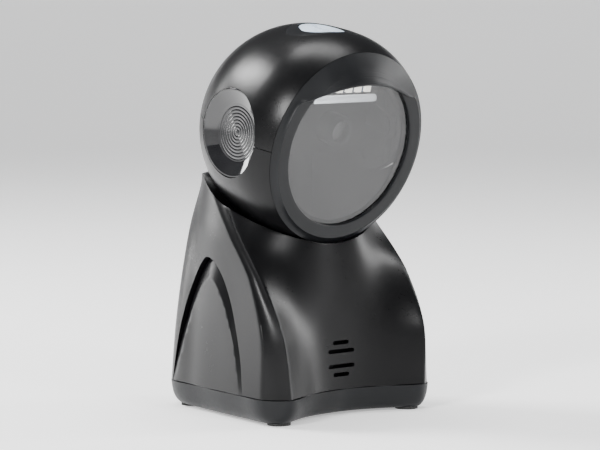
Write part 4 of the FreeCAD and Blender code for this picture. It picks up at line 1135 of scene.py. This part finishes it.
class SCANNER_OT_spring(bpy.types.Operator):
    """Coil spring that returns the button, grown along a spiral"""

    bl_idname = "scanner.spring"
    bl_label = "Button spring"

    def execute(self, context):
        bottom, top = node_span("button_spring", UP)
        outer = node_span("button_spring", ACROSS)[1]
        wire = 0.35 * MM
        wanted = {"Coil Radius": outer - wire, "Coil Length": top - bottom - 2 * wire, "Wire Radius": wire}
        tree, entry, sockets = open_tree("coil_spring", wanted)
        coil = tree.nodes.new("GeometryNodeCurveSpiral")
        coil.inputs["Resolution"].default_value = 40
        coil.inputs["Rotations"].default_value = 5.5
        tree.links.new(entry.outputs["Coil Radius"], coil.inputs["Start Radius"])
        tree.links.new(entry.outputs["Coil Radius"], coil.inputs["End Radius"])
        tree.links.new(entry.outputs["Coil Length"], coil.inputs["Height"])
        ring = tree.nodes.new("GeometryNodeCurvePrimitiveCircle")
        ring.inputs["Resolution"].default_value = 10
        tree.links.new(entry.outputs["Wire Radius"], ring.inputs["Radius"])
        swept = tree.nodes.new("GeometryNodeCurveToMesh")
        swept.inputs["Fill Caps"].default_value = True
        tree.links.new(coil.outputs["Curve"], swept.inputs["Curve"])
        tree.links.new(ring.outputs["Curve"], swept.inputs["Profile Curve"])
        put = tree.nodes.new("GeometryNodeTransform")
        put.inputs["Translation"].default_value = BALL + UP * (bottom + wire)
        put.inputs["Rotation"].default_value = (PITCH, 0, 0)
        tree.links.new(swept.outputs["Mesh"], put.inputs["Geometry"])
        close_tree(tree, put.outputs["Geometry"], "steel")
        piece = grown_piece("coil_return_spring", tree, sockets, wanted)
        smooth(piece.data, 60)
        stand_for(piece, "button_spring")
        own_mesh(piece)
        return {"FINISHED"}


class SCANNER_PT_pieces(bpy.types.Panel):
    """Sidebar panel of the scanner's pieces"""

    bl_idname = "SCANNER_PT_pieces"
    bl_label = "Scanner"
    bl_space_type = "VIEW_3D"
    bl_region_type = "UI"
    bl_category = "Scanner"

    def draw(self, context):
        layout = self.layout
        for group in (context.scene.scanner_sizes, context.scene.scanner_colours):
            box = layout.box()
            for name in group.__annotations__:
                box.prop(group, name)
        for operator in OPERATORS:
            layout.operator(operator.bl_idname)


OPERATORS = (
    SCANNER_OT_stage,
    SCANNER_OT_finishes,
    SCANNER_OT_base,
    SCANNER_OT_shells,
    SCANNER_OT_caps,
    SCANNER_OT_bezel,
    SCANNER_OT_window,
    SCANNER_OT_button,
    SCANNER_OT_fixings,
    SCANNER_OT_spring,
)
CLASSES = (ScannerSizes, ScannerColours, *OPERATORS, SCANNER_PT_pieces)


def register():
    for kind in CLASSES:
        bpy.utils.register_class(kind)
    bpy.types.Scene.scanner_sizes = PointerProperty(type=ScannerSizes)
    bpy.types.Scene.scanner_colours = PointerProperty(type=ScannerColours)


def unregister():
    del bpy.types.Scene.scanner_sizes
    del bpy.types.Scene.scanner_colours
    for kind in reversed(CLASSES):
        bpy.utils.unregister_class(kind)


def main():
    register()
    for operator in OPERATORS:
        group, name = operator.bl_idname.split(".")
        getattr(getattr(bpy.ops, group), name)()


if __name__ == "__main__":
    main()
